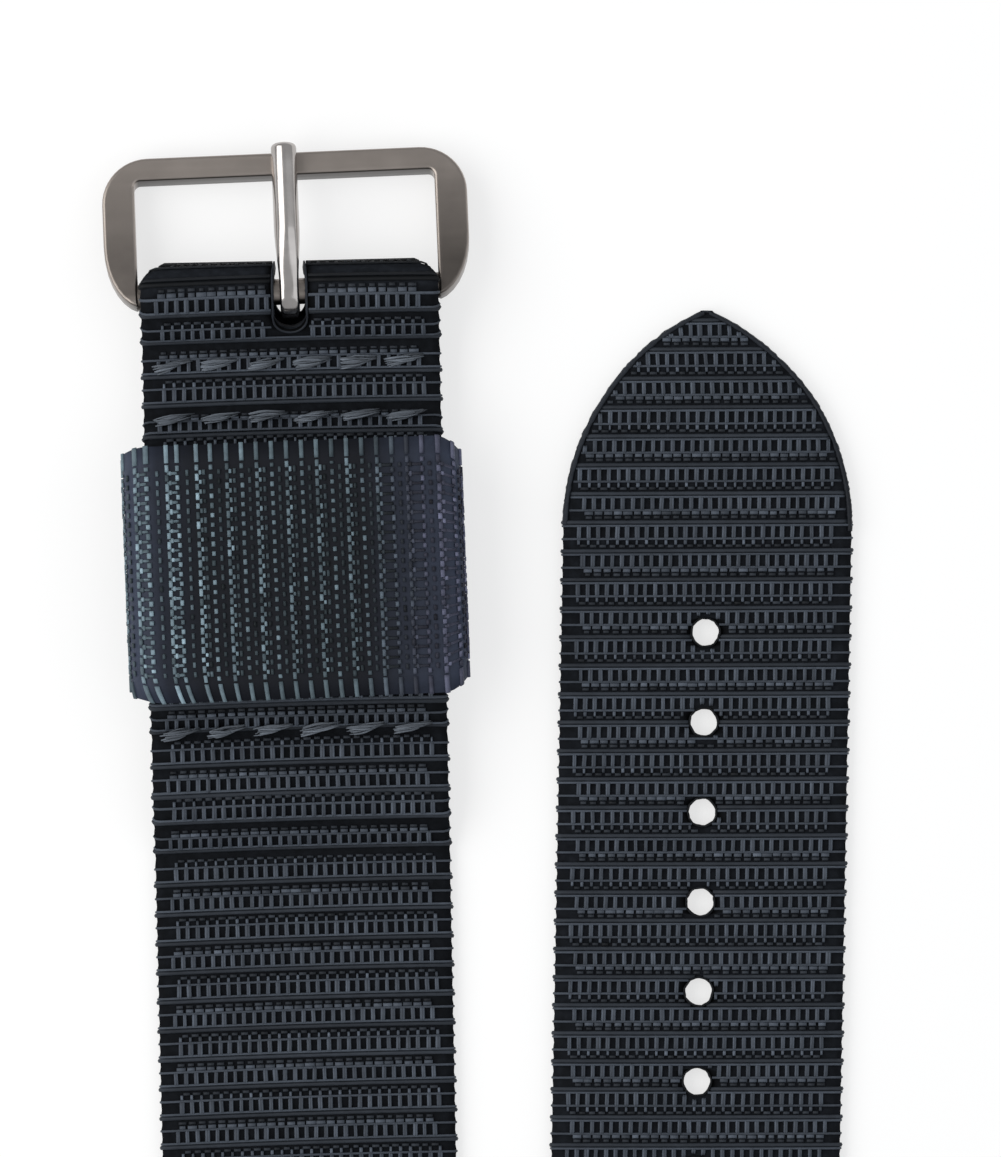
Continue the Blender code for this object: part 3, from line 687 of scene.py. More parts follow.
def run_faces(rings, closed):
    """Quads over one run of six-sided rings, with two quads at each open end."""
    quads = ring_quads(rings, SIDES, closed)
    if closed:
        return quads
    last = (rings - 1) * SIDES
    ends = np.array([[0, 5, 4, 3], [0, 3, 2, 1]])
    far = np.array([[0, 1, 2, 3], [0, 3, 4, 5]]) + last
    return np.concatenate([quads, ends, far])


class Yarns:
    """Runs of yarn that are gathered into one mesh."""

    def __init__(self, seed):
        self.points, self.faces, self.tones, self.grains = [], [], [], []
        self.count = 0
        self.random = np.random.default_rng(seed)

    def add(self, rings, closed=False, tone=1.0, spread=0.10):
        """Adds alike runs: an array of runs, rings, sides and the three flat places."""
        runs, count, sides, _ = rings.shape
        if runs == 0:
            return
        size = count * sides
        starts = self.count + size * np.arange(runs)
        self.faces.append((run_faces(count, closed)[None] + starts[:, None, None]).reshape(-1, 4))
        self.points.append(rings.reshape(-1, 3))
        tone = np.asarray(tone)
        if tone.ndim == 1:
            tone = tone[:, None, None]
        own = np.clip(self.random.normal(1.0, spread, runs), 0.3, 1.8)
        tones = np.broadcast_to(tone, (runs, count, sides)) * own[:, None, None]
        self.tones.append(tones.reshape(-1))
        middles = rings.mean(axis=2)
        steps = np.linalg.norm(np.diff(middles, axis=1), axis=2)
        along = np.concatenate([np.zeros((runs, 1)), np.cumsum(steps, axis=1)], axis=1)
        grain = np.zeros((runs, count, sides, 3))
        grain[..., 0] = along[:, :, None]
        grain[..., 1] = np.abs(np.arange(sides) - sides / 2.0) * THREAD_GAP
        grain[..., 2] = self.random.uniform(0.0, 1.0, runs)[:, None, None]
        self.grains.append(grain.reshape(-1, 3))
        self.count += runs * size

    def made(self, name, lay, material, painted_shade_of=None):
        """The gathered runs as an object, laid in place, darker where painted shade is given."""
        flat = np.concatenate(self.points)
        tones = np.concatenate(self.tones)
        if painted_shade_of is not None:
            tones = tones * painted_shade_of(flat)
        piece = mesh_object(name, lay(flat), np.concatenate(self.faces), material)
        set_tone(piece, tones)
        grain = piece.data.attributes.new("grain", "FLOAT_VECTOR", "POINT")
        grain.data.foreach_set("vector", np.concatenate(self.grains).astype(np.float32).ravel())
        return piece


def set_tone(piece, tones):
    """Gives each point of a piece its own lightness."""
    tone = piece.data.attributes.new("tone", "FLOAT", "POINT")
    tone.data.foreach_set("value", np.asarray(tones, np.float32))


def mesh_object(name, points, quads, material):
    """An object over points and quads, shaded smooth."""
    mesh = bpy.data.meshes.new(name)
    mesh.vertices.add(len(points))
    mesh.vertices.foreach_set("co", np.asarray(points, np.float32).ravel())
    mesh.loops.add(quads.size)
    mesh.loops.foreach_set("vertex_index", quads.astype(np.int32).ravel())
    mesh.polygons.add(len(quads))
    mesh.polygons.foreach_set("loop_start", np.arange(0, quads.size, 4, dtype=np.int32))
    mesh.update(calc_edges=True)
    mesh.shade_smooth()
    mesh.materials.append(material)
    piece = bpy.data.objects.new(name, mesh)
    bpy.context.scene.collection.objects.link(piece)
    return piece


# Shares of a float's half width and of its depth at the six corners of its section
FLOAT_SIDE_SHARES = np.array([1.0, 0.58, 0.0, -0.58, -1.0, 0.0])
FLOAT_DEPTH_SHARES = np.array([-0.9, 0.0, -0.35, 0.0, -0.9, -1.0])
FLOAT_DIVE_SHARES = np.array([0.75, 0.0, 0.0, 0.75])
# FLOAT_TONE_SHARES paints shade at a float's two ends, where it dives under the weft
FLOAT_TONE_SHARES = np.array([0.62, 1.0, 1.08, 0.80])
CELL_SIDE_SHARES = np.array([1.0, 0.55, -0.55, -1.0, -0.8, 0.8])
CELL_DEPTH_SHARES = np.array([-0.55, 0.0, 0.0, -0.55, -1.0, -1.0])


def float_rings(starts, ends, across, half, height, random):
    """Lengthwise floats: each a pair of strands that dives under the weft at both ends."""
    count = len(starts)
    half = half * random.normal(1.0, FLOAT_WIDTH_SHARE, count)
    depth = half.mean()
    reach = np.minimum(FLOAT_DIVE_REACH_SHARE * depth, (ends - starts) / 3.0)
    along = np.stack([starts, starts + reach, ends - reach, ends], axis=1)
    wander = random.normal(0.0, FLOAT_WANDER_SHARE * depth, (count, 1))
    wander = wander + random.normal(0.0, FLOAT_WAVE_SHARE * depth, (count, 4))
    lift = random.normal(0.0, FLOAT_LIFT_SHARE * depth, count)
    rings = np.zeros((count, 4, SIDES, 3))
    rings[..., 0] = along[:, :, None]
    rings[..., 1] = (across[:, None] + wander)[..., None] + half[:, None, None] * FLOAT_SIDE_SHARES
    rings[..., 2] = (height + lift)[:, None, None] + depth * (
        FLOAT_DEPTH_SHARES - FLOAT_DIVE_SHARES[:, None])
    strands = random.uniform(*FLOAT_STRAND_TONE_SHARES, (count, 1, 2))
    # The tones paint shade at the float's ends, in the groove between its strands and on its low sides
    tones = np.ones((count, 4, SIDES)) * FLOAT_TONE_SHARES[:, None]
    tones[..., 1] *= strands[..., 0]
    tones[..., 3] *= strands[..., 1]
    tones[..., 2] *= FLOAT_GAP_TONE_SHARE
    tones[..., 0] *= FLOAT_SIDE_TONE_SHARE
    tones[..., 4] *= FLOAT_SIDE_TONE_SHARE
    return rings, tones


def cell_rings(along, across, reach, half, height, random):
    """Short floats that lie across the strip."""
    count = len(along)
    reach = reach * np.clip(
        random.normal(1.0, CELL_LENGTH_SHARE, count), *CELL_LENGTH_LIMIT_SHARES)
    along = along + random.normal(0.0, CELL_PLACE_SHARE * half, count)
    rings = np.zeros((count, 2, SIDES, 3))
    rings[..., 0] = along[:, None, None] - half * CELL_SIDE_SHARES
    rings[..., 1] = across[:, None, None] + (reach[:, None] * np.array([-1.0, 1.0]))[:, :, None]
    lift = random.normal(0.0, CELL_LIFT_SHARE * half, count)
    rings[..., 2] = (height + lift)[:, None, None] + half * CELL_DEPTH_SHARES
    return rings


def turned_over(rings, side):
    """The same runs on the strip's other face."""
    return rings if side > 0.0 else rings * np.array([1.0, -1.0, -1.0])


def pill_arc(start, half_width, half_height):
    """Centres and outward directions over one side of a strip's outline: front, edge and back."""
    reach = half_width - half_height
    count = max(2, int(math.ceil((reach - start) / RAIL_STEP)) + 1)
    front = np.linspace(start, reach, count)
    turns = math.pi / 2.0 - math.pi * np.arange(1, EDGE_STEPS) / EDGE_STEPS
    edge = np.stack([np.cos(turns), np.sin(turns)], axis=1)
    centres = np.concatenate([
        np.stack([front, np.full(count, half_height)], axis=1),
        np.array([reach, 0.0]) + edge * half_height,
        np.stack([front[::-1], np.full(count, -half_height)], axis=1)])
    outward = np.concatenate([
        np.tile([0.0, 1.0], (count, 1)), edge, np.tile([0.0, -1.0], (count, 1))])
    return centres, outward


def rail_rings(along, centres, outward, half, rise):
    """A weft yarn along centres in the strip's cross-section."""
    turns = 2.0 * math.pi * (np.arange(SIDES) + 0.5) / SIDES
    rings = np.zeros((1, len(centres), SIDES, 3))
    rings[0, :, :, 0] = along - half * np.cos(turns)
    up = rise * np.sin(turns)
    rings[0, :, :, 1:] = centres[:, None, :] + outward[:, None, :] * up[:, None]
    return rings


def weft(yarns, along, halves, opening, half, height, tone):
    """One weft yarn right round the strip, parted where an opening cuts it."""
    rise = WEFT_RISE_SHARE * half
    level = height - rise
    start = 0.0 if opening is None else opening
    right, right_out = pill_arc(start, halves[0], level)
    left, left_out = pill_arc(start, halves[1], level)
    if opening is None:
        centres = np.concatenate([right, -left[1:-1]])
        outward = np.concatenate([right_out, -left_out[1:-1]])
        yarns.add(rail_rings(along, centres, outward, half, rise), closed=True, tone=tone)
        return
    yarns.add(rail_rings(along, right, right_out, half, rise), tone=tone)
    yarns.add(rail_rings(along, -left, -left_out, half, rise), tone=tone)


def hole_lengths(route):
    """Lengths along the strap of its punched holes."""
    return [route.length - FIRST_HOLE - HOLE_PITCH * index for index in range(HOLE_COUNT)]


def slot_span(route, sizes):
    """The slot's two ends as lengths along the strap: under the fold and past it."""
    return TAIL_LENGTH - sizes.lower_slot, float(length_of_distance(route, SLOT_REACH))


def opening_at(route, sizes, along):
    """Half width of the opening that a weft yarn meets at a length along the strap."""
    for place in hole_lengths(route):
        reach = HOLE_RADIUS + sizes.rim
        if abs(along - place) < reach:
            return max(math.sqrt(reach ** 2 - (along - place) ** 2), sizes.rim)
    slot = slot_span(route, sizes)
    if slot[0] < along < slot[1]:
        return SLOT_WIDTH / 2.0 + sizes.rim
    return None


def clear_of_openings(route, sizes, starts, ends, across, room):
    """Shortens each float to what the holes, the slot and the tip's outline leave of it."""
    starts, ends = starts.copy(), ends.copy()
    middle = (starts + ends) / 2.0
    reach = HOLE_RADIUS + sizes.rim + room
    for place in hole_lengths(route):
        chord = np.sqrt(np.clip(reach ** 2 - across ** 2, 0.0, None))
        hit = (chord > 0.0) & (starts < place + chord) & (ends > place - chord)
        before = hit & (middle < place)
        after = hit & ~before
        ends[before] = np.minimum(ends[before], place - chord[before])
        starts[after] = np.maximum(starts[after], place + chord[after])
    slot = slot_span(route, sizes)
    side = SLOT_WIDTH / 2.0 + 1.3 * sizes.rim + room
    inside = (np.abs(across) < side) & (starts < slot[1] + sizes.rim) & (ends > slot[0] - sizes.rim)
    late = inside & (middle > slot[1])
    starts[late] = np.maximum(starts[late], slot[1] + 1.6 * sizes.rim)
    ends[inside & ~late] = 0.0
    outline = np.linspace(0.0, TIP_LENGTH, REACH_POINTS)
    widths = tip_half_width(outline) - sizes.tip_rim - room
    far = route.length - np.interp(np.abs(across), widths, outline)
    far = far - slanted_by(route, sizes, middle, across)
    return starts, np.minimum(ends, far)


def shut_in(route, along, side):
    """True where a face of the strap is shut in by the layer that lies on it."""
    return side < 0.0 and along < length_of_distance(route, DROP_START)


def fold_painted_shade(sizes):
    """Painted shade over the fold, which is pressed smooth: how much darker the yarns are there."""
    end = FOLD_END - sizes.crown_end
    soft = sizes.rail_half
    places = [TAIL_LENGTH - FOLD_RADIUS, TAIL_LENGTH, end - soft, end + soft]
    return lambda flat: np.interp(flat[:, 0], places, [1.0, FOLD_SHADE_TONE_SHARE, FOLD_SHADE_TONE_SHARE, 1.0])


def smooth_at(sizes, along):
    """True where the fold is pressed so smooth that no floats show."""
    return TAIL_LENGTH + FOLD_RADIUS < along < FOLD_END - sizes.crown_end


def weave_face(yarns, route, ribs, sizes, numbers, side):
    """The floats, binders and faint cells of some ribs on one face."""
    bars, dashes, ticks, unders = [], [], [], []
    for index in numbers:
        place, kind = ribs.places[index], ribs.kinds[index]
        if shut_in(route, place, side):
            continue
        shift = (kind - 0.5) * sizes.cell_pitch / 2.0
        spots = (np.arange(sizes.cells + 1) - sizes.cells / 2.0) * sizes.cell_pitch + shift
        windows = (spots[1:] + spots[:-1]) / 2.0
        if not smooth_at(sizes, place):
            bars.append(np.stack([np.full(len(spots), place), spots], axis=1))
        unders.append(np.stack([np.full(len(windows), place - sizes.under_place), windows], axis=1))
        if kind == 0:
            dashes.append(np.stack([np.full(len(windows), place - sizes.dash_place), windows], axis=1))
        else:
            ticks.append(np.stack([np.full(len(spots), place - sizes.tick_place), spots], axis=1))
    if bars:
        spots = np.concatenate(bars)
        starts, ends = clear_of_openings(
            route, sizes, spots[:, 0] - sizes.float_reach, spots[:, 0] + sizes.float_reach,
            spots[:, 1], sizes.float_half)
        long = ends - starts > SHORTEST_SHARE * sizes.float_half
        rings, tones = float_rings(
            starts[long], ends[long], side * spots[long, 1], sizes.float_half,
            sizes.float_height, yarns.random)
        yarns.add(turned_over(rings, side), tone=tones)
    rows = (
        (dashes, sizes.dash_reach, sizes.dash_half, sizes.dash_height, DASH_TONE_SHARE),
        (ticks, sizes.tick_reach, sizes.tick_half, sizes.dash_height, TICK_TONE_SHARE),
        (unders, 0.80 * sizes.dash_reach, sizes.under_half, sizes.under_height, UNDER_TONE_SHARE),
    )
    for group, reach, half, height, tone in rows:
        if not group:
            continue
        spots = np.concatenate(group)
        starts, ends = clear_of_openings(
            route, sizes, spots[:, 0] - half, spots[:, 0] + half, spots[:, 1], reach)
        spots = spots[ends - starts > SHORTEST_SHARE * half]
        rings = cell_rings(spots[:, 0], side * spots[:, 1], reach, half, height, yarns.random)
        yarns.add(turned_over(rings, side), tone=tone, spread=0.22)


def weave_strap(route, ribs, sizes, numbers, name, material, rows):
    """The yarns of some ribs, on both faces."""
    yarns = Yarns(SEED + numbers[0])
    for side in (1.0, -1.0):
        weave_face(yarns, route, ribs, sizes, numbers, side)
    for index in numbers:
        rails = (
            (-sizes.rail_place, sizes.rail_half, sizes.rail_height, LOWER_WEFT_TONE_SHARE),
            (sizes.rail_place, sizes.rail_half, sizes.rail_height, UPPER_WEFT_TONE_SHARE),
            (sizes.shade_place, sizes.shade_half, sizes.shade_height, FAINT_WEFT_TONE_SHARE),
        )
        for offset, half, height, tone in rails:
            along = float(ribs.places[index] + offset)
            halves = [float(reach_at(route, sizes, along, side)) for side in (1.0, -1.0)]
            if min(halves) < 2.5 * sizes.rail_height:
                continue
            halves = [reach - (sizes.tip_rim if reach < HALF_WIDTH - sizes.rim / 10.0 else 0.0)
                      for reach in halves]
            opening = opening_at(route, sizes, along)
            weft(yarns, along, halves, opening, half, height, tone)

    def lay(flat):
        return route.lay(slanted(route, sizes, pressed(flat, rows)))

    return yarns.made(name, lay, material, fold_painted_shade(sizes))


def ground_ribbon(name, route, ribs, sizes, material, rows):
    """The dark ground of the strap under its yarns: one closed ribbed ribbon."""
    count = int(route.length / (sizes.lying_pitch / RIB_STEPS))
    along = np.linspace(0.0, route.length, count)
    phase = ribs.phase(along)
    relief = sizes.ground_height + sizes.ground_relief * np.cos(2.0 * math.pi * (phase + 0.07))
    scallop = sizes.ground_relief * (0.6 * np.cos(4.0 * math.pi * (phase + 0.25)) - 0.8)
    outer = HALF_WIDTH + scallop
    right = np.minimum(reach_at(route, sizes, along, 1.0), outer)
    left = np.minimum(reach_at(route, sizes, along, -1.0), outer)
    shares = np.linspace(0.94, -0.94, GROUND_COLUMNS)
    points = []
    for place, rise, positive, negative in zip(along, relief, right, left):
        row = [share * (positive if share > 0.0 else negative) for share in shares]
        points += [(place, positive, -0.5 * rise), (place, positive, 0.5 * rise)]
        points += [(place, across, rise) for across in row]
        points += [(place, -negative, 0.5 * rise), (place, -negative, -0.5 * rise)]
        points += [(place, across, -rise) for across in reversed(row)]
    sides = 2 * len(shares) + 4
    caps = []
    front = list(range(1, len(shares) + 3))
    back = [0] + list(range(sides - 1, len(shares) + 2, -1))
    for index in range(len(front) - 1):
        cap = (front[index], front[index + 1], back[index + 1], back[index])
        caps.append(tuple(reversed(cap)))
        caps.append(tuple(corner + (count - 1) * sides for corner in cap))
    flat = np.array(points)
    placed = route.lay(slanted(route, sizes, pressed(flat, rows)))
    quads = np.concatenate([ring_quads(count, sides), caps])
    ribbon = mesh_object(name, placed, quads, material)
    fold = [TAIL_LENGTH, TAIL_LENGTH + FOLD_RADIUS, FOLD_END - sizes.crown_end, FOLD_END]
    places = fold + [route.length - LYING_LENGTH - TWIST_LENGTH, route.length - LYING_LENGTH]
    shares = [GROUND_TONE_SHARE, CROWN_TONE_SHARE, CROWN_TONE_SHARE,
              GROUND_TONE_SHARE, GROUND_TONE_SHARE, TIP_TONE_SHARE]
    set_tone(ribbon, np.interp(flat[:, 0], places, shares))
    return ribbon


def select_only(piece):
    """Makes a piece the one selected and active object."""
    bpy.ops.object.select_all(action="DESELECT")
    piece.select_set(True)
    bpy.context.view_layer.objects.active = piece


def added(operator, **settings):
    """The object that an operator adds, alone in the selection."""
    bpy.ops.object.select_all(action="DESELECT")
    operator(**settings)
    return bpy.context.object


def joined(pieces):
    """Several pieces made into the first one."""
    select_only(pieces[0])
    for piece in pieces[1:]:
        piece.select_set(True)
    bpy.ops.object.join()
    return pieces[0]


def settle(piece):
    """Puts a piece's place, turn and scale into its mesh."""
    select_only(piece)
    bpy.ops.object.transform_apply(location=True, rotation=True, scale=True)
    return piece


def cut_away(ribbon, cutter):
    """Cuts one piece out of another."""
    cut = ribbon.modifiers.new("opening", "BOOLEAN")
    cut.operation = "DIFFERENCE"
    cut.solver = "EXACT"
    cut.object = cutter
    select_only(ribbon)
    bpy.ops.object.modifier_apply(modifier=cut.name)
    bpy.data.objects.remove(cutter)


def cut_openings(ribbon, route, sizes):
    """Cuts the punched holes and the tongue's slot through the ground."""
    cutters = []
    for along in hole_lengths(route):
        cutter = added(
            bpy.ops.mesh.primitive_cylinder_add, vertices=HOLE_SIDES, radius=HOLE_RADIUS,
            depth=4.0 * STRAP_THICK)
        cutter.matrix_world = route.place(along)
        cutters.append(cutter)
    cut_away(ribbon, joined(cutters))
    for reach, direction in ((SLOT_REACH, 1.0), (sizes.lower_slot, -1.0)):
        slot = added(
            bpy.ops.mesh.primitive_cylinder_add, vertices=HOLE_SIDES, radius=SLOT_WIDTH / 2.0,
            depth=2.0 * BAR_HEIGHT)
        for vertex in slot.data.vertices:
            if vertex.co.y > 0.0:
                vertex.co.y += 4.0 * FOLD_RADIUS
        height = BAR_HEIGHT + direction * (BAR_HEIGHT - THREAD_GAP)
        slot.location = SHIFT + Vector((0.0, SLOT_WIDTH / 2.0 - reach, height))
        cut_away(ribbon, slot)


def bead_rings(centres, half, rise, random):
    """A melted bead along flat centres: length along, distance across."""
    tangent = np.gradient(centres, axis=0)
    tangent /= np.linalg.norm(tangent, axis=1)[:, None]
    side = np.stack([-tangent[:, 1], tangent[:, 0]], axis=1)
    turns = 2.0 * math.pi * np.arange(SIDES) / SIDES
    lumps = random.normal(1.0, BEAD_LUMP_SHARE, (len(centres), 1))
    outward = half * lumps * np.cos(turns)
    rings = np.zeros((1, len(centres), SIDES, 3))
    rings[0, :, :, :2] = centres[:, None, :] + side[:, None, :] * outward[..., None]
    rings[0, :, :, 2] = rise * np.sin(turns)
    return rings


def closed_bead(beads, loop, half, rise, tone):
    """A bead round a closed loop."""
    wrapped = np.concatenate([loop[-1:], loop, loop[:1]])
    rings = bead_rings(wrapped, half, rise, beads.random)[:, 1:-1]
    beads.add(rings, closed=True, tone=tone)


def slot_outline(route, sizes):
    """The slot's rim: its two round ends and its straight sides."""
    low, high = slot_span(route, sizes)
    half = SLOT_WIDTH / 2.0
    bend = math.pi * np.arange(BEND_STEPS + 1) / BEND_STEPS
    straight = np.linspace(low + half, high - half, SLOT_POINTS)
    return np.concatenate([
        np.stack([straight, np.full(SLOT_POINTS, half)], axis=1),
        np.stack([high - half + half * np.sin(bend), half * np.cos(bend)], axis=1)[1:],
        np.stack([straight[::-1], np.full(SLOT_POINTS, -half)], axis=1)[1:],
        np.stack([low + half - half * np.sin(bend), -half * np.cos(bend)], axis=1)[1:-1]])


def melted_edges(route, sizes, material):
    """The sealed rims: the tip's outline, the punched holes, the slot and the tail's cut end."""
    beads = Yarns(SEED + 90)
    rise = 0.9 * HALF_THICK
    distance = np.concatenate([
        np.linspace(TIP_LENGTH, OUTLINE_END, OUTLINE_POINTS),
        np.linspace(TIP_END_START, 0.0, TIP_END_POINTS)])
    wide = tip_half_width(distance) - 0.55 * sizes.tip_rim
    outline = np.concatenate([
        np.stack([route.length - distance, wide], axis=1),
        np.stack([route.length - distance, -wide], axis=1)[::-1]])
    shine = np.linspace(*TIP_RIM_TONE_SHARES, len(outline))[None, :, None]
    beads.add(bead_rings(outline, 0.6 * sizes.tip_rim, rise, beads.random), tone=shine)
    turn = 2.0 * math.pi * np.arange(HOLE_POINTS) / HOLE_POINTS
    for place in hole_lengths(route):
        radius = (HOLE_RADIUS + 0.4 * sizes.rim) * beads.random.normal(
            1.0, HOLE_LUMP_SHARE, (HOLE_POINTS, 1))
        ring = np.array([place, 0.0]) + radius * np.stack([np.cos(turn), np.sin(turn)], axis=1)
        closed_bead(beads, ring, 0.8 * sizes.rim, rise, HOLE_RIM_TONE_SHARE)
    closed_bead(beads, slot_outline(route, sizes), 0.9 * sizes.rim, rise, SLOT_RIM_TONE_SHARE)
    across = np.linspace(HALF_WIDTH - sizes.rim, sizes.rim - HALF_WIDTH, TAIL_POINTS)
    end = np.stack([np.full(TAIL_POINTS, sizes.rim), across], axis=1)
    beads.add(bead_rings(end, 1.3 * sizes.rim, rise, beads.random))
    return beads.made("melted_edges", route.lay, material)


class Value:
    """A shader value that can stand in a sum."""

    def __init__(self, finish, socket):
        self.finish = finish
        self.socket = socket

    def _math(self, operation, first, second):
        made = self.finish.node("ShaderNodeMath", {"operation": operation}, {0: first, 1: second})
        return made.out()

    def __add__(self, other):
        return self._math("ADD", self, other)

    def __radd__(self, other):
        return self._math("ADD", other, self)

    def __sub__(self, other):
        return self._math("SUBTRACT", self, other)

    def __rsub__(self, other):
        return self._math("SUBTRACT", other, self)

    def __mul__(self, other):
        return self._math("MULTIPLY", self, other)

    def __rmul__(self, other):
        return self._math("MULTIPLY", other, self)

    def __truediv__(self, other):
        return self._math("DIVIDE", self, other)

    def clipped(self):
        return self.finish.node("ShaderNodeClamp", {}, {"Value": self}).out()


class Made:
    """A node that has been added, and its outputs."""

    def __init__(self, finish, node):
        self.finish = finish
        self.node = node

    def out(self, name=0):
        return Value(self.finish, self.node.outputs[name])


class Finish:
    """A material or a world and the one way to add nodes to it."""

    def __init__(self, name, world=False):
        self.owner = bpy.data.worlds.new(name) if world else bpy.data.materials.new(name)
        self.owner.use_nodes = True
        self.tree = self.owner.node_tree
        self.tree.nodes.clear()
        kind = "ShaderNodeOutputWorld" if world else "ShaderNodeOutputMaterial"
        self.output = self.tree.nodes.new(kind)

    def node(self, kind, settings=None, inputs=None):
        """Adds a node: its settings first, then the values or links of its sockets."""
        made = self.tree.nodes.new(kind)
        for name, value in (settings or {}).items():
            setattr(made, name, value)
        for name, value in (inputs or {}).items():
            socket = made.inputs[name]
            if isinstance(value, Value):
                self.tree.links.new(value.socket, socket)
                continue
            wide = hasattr(socket.default_value, "__len__")
            if wide and not hasattr(value, "__len__"):
                value = (value,) * len(socket.default_value)
            elif wide and len(value) < len(socket.default_value):
                value = (*value, 1.0)
            socket.default_value = value
        return Made(self, made)

    def mix(self, factor, first, second):
        """A colour between two colours."""
        made = self.tree.nodes.new("ShaderNodeMix")
        made.data_type = "RGBA"
        for index, value in ((0, factor), (6, first), (7, second)):
            socket = made.inputs[index]
            if isinstance(value, Value):
                self.tree.links.new(value.socket, socket)
            else:
                socket.default_value = value if index == 0 else (*value[:3], 1.0)
        return Value(self, made.outputs[2])

    def scaled(self, colour, amount):
        """A colour made brighter or darker by a value."""
        colour = colour if isinstance(colour, Value) else tuple(colour)[:3]
        made = self.node(
            "ShaderNodeVectorMath", {"operation": "SCALE"}, {0: colour, "Scale": amount})
        return made.out()

    def noise(self, vector, scale, detail=2.0):
        made = self.node(
            "ShaderNodeTexNoise", {}, {"Vector": vector, "Scale": scale, "Detail": detail})
        return made.out("Fac")

    def stretched(self, vector, scale):
        return self.node("ShaderNodeMapping", {}, {"Vector": vector, "Scale": scale}).out()

    def place(self):
        return self.node("ShaderNodeTexCoord").out("Object")

    def part(self, vector, axis):
        return self.node("ShaderNodeSeparateXYZ", {}, {"Vector": vector}).out(axis)

    def tone(self):
        return self.node("ShaderNodeAttribute", {"attribute_name": "tone"}).out("Fac")

    def bump(self, height, strength, distance):
        made = self.node(
            "ShaderNodeBump", {}, {"Height": height, "Strength": strength, "Distance": distance})
        return made.out()

    def shade(self, inputs):
        """The principled shader, as the finish's surface."""
        made = self.node("ShaderNodeBsdfPrincipled", {}, inputs)
        self.tree.links.new(made.node.outputs[0], self.output.inputs["Surface"])
        return self.owner


def yarn_finish(name, colour, gloss):
    """Nylon yarn: filaments that run along it, and a tone of its own for each float."""
    finish = Finish(name)
    grain = finish.node("ShaderNodeAttribute", {"attribute_name": "grain"}).out("Vector")
    filaments = finish.noise(finish.stretched(grain, (900.0, 26000.0, 40.0)), 1.0, 1.0)
    patches = finish.noise(finish.place(), 1500.0, 2.0)
    amount = finish.tone() * (0.58 + 0.34 * filaments + 0.50 * patches)
    return finish.shade({
        "Base Color": finish.scaled(colour, amount),
        "Roughness": 0.45 + 0.25 * patches,
        "Normal": finish.bump(filaments, 0.35, FILAMENT_DEPTH),
        "Specular IOR Level": gloss,
    })


def ground_finish(name, colour):
    """The dark ground between the yarns: the fibres' own dark colour with painted shade, a little
    lighter where fibres catch the light.
    """
    finish = Finish(name)
    patches = finish.noise(finish.place(), 1700.0, 3.0)
    amount = finish.tone() * (0.5 + 1.4 * patches * patches)
    return finish.shade({
        "Base Color": finish.scaled(colour, amount),
        "Roughness": 0.75 + 0.15 * patches,
        "Normal": finish.bump(patches, 0.5, GROUND_DEPTH),
        "Specular IOR Level": 0.06,
    })


def melted_finish(name, colour):
    """Nylon that was melted shut: dark and fairly smooth."""
    finish = Finish(name)
    lumps = finish.noise(finish.place(), 2600.0, 3.0)
    return finish.shade({
        "Base Color": finish.scaled(colour, finish.tone() * (0.6 + 0.8 * lumps)),
        "Roughness": 0.40 + 0.25 * lumps,
        "Normal": finish.bump(lumps, 0.4, MELTED_DEPTH),
        "Specular IOR Level": 0.12,
    })


def keeper_finish(name, colour, slate, base):
    """The keeper's cloth: teal on its front, slate round its right side."""
    finish = Finish(name)
    place = finish.place()
    side = finish.part(place, "X") - SHIFT.x
    sideways = (side - SLATE_START) / SLATE_RUN
    patches = finish.noise(place, 1500.0, 3.0)
    slow = finish.noise(place, 330.0, 1.0)
    tinted = finish.mix((sideways + 0.6 * (slow - 0.5)).clipped(), colour, slate)
    amount = finish.tone() * (base + (1.9 - 1.9 * base) * patches)
    return finish.shade({
        "Base Color": finish.scaled(tinted, amount),
        "Roughness": 0.42 + 0.3 * patches,
        "Normal": finish.bump(patches, 0.3, KEEPER_DEPTH),
        "Specular IOR Level": 0.15,
    })


def facing(amount):
    """How clearly a surface faces one way, from its direction's share of that way."""
    return (2.5 * (amount - 0.3)).clipped()


def frame_finish(name, colour):
    """Brushed steel, with painted shade down its arms, more on the right arm, and on the top bar's inner
    wall, and painted highlights on its side walls and below the heel bar's middle.
    """
    finish = Finish(name)
    place = finish.place()
    side = (finish.part(place, "X") - SHIFT.x) / ARM_SIDE
    down = ((SHIFT.y + ARM_TOP - finish.part(place, "Y")) / ARM_RUN).clipped()
    way = finish.node("ShaderNodeTexCoord").out("Normal")
    right = (4.0 * (side - 0.6)).clipped()
    left = (-4.0 * (side + 0.6)).clipped()
    # Painted shade on the top bar's inner wall
    painted_wall_shade = facing(-1.0 * finish.part(way, "Y"))
    # Painted highlights on the walls that face sideways
    painted_edge_light = facing(finish.part(way, "X")) + 0.9 * facing(-1.0 * finish.part(way, "X"))
    lines = finish.noise(finish.stretched(place, (60.0, 2600.0, 2600.0)), 1.0, 3.0)
    cloud = finish.noise(place, 420.0, 3.0)
    mottle = 1.0 - 0.9 * left * down * (cloud - 0.35).clipped()
    # Painted shade down the arms, more on the right arm
    tone = (1.06 - down * (0.70 * right + 0.36 * left)) * mottle
    # Painted highlight below the heel bar's middle
    foot = ((SHIFT.y - finish.part(place, "Y")) / FOOT_RUN).clipped()
    tone = (tone * (1.0 - 0.80 * painted_wall_shade) * (1.0 + 1.1 * foot) + 0.6 * painted_edge_light) * (0.86 + 0.28 * cloud)
    return finish.shade({
        "Base Color": finish.scaled(colour, tone),
        "Metallic": 1.0,
        "Roughness": 0.30 + 0.12 * (lines - 0.5) + 0.08 * cloud,
        "Normal": finish.bump(lines, 0.12, STEEL_DEPTH),
    })


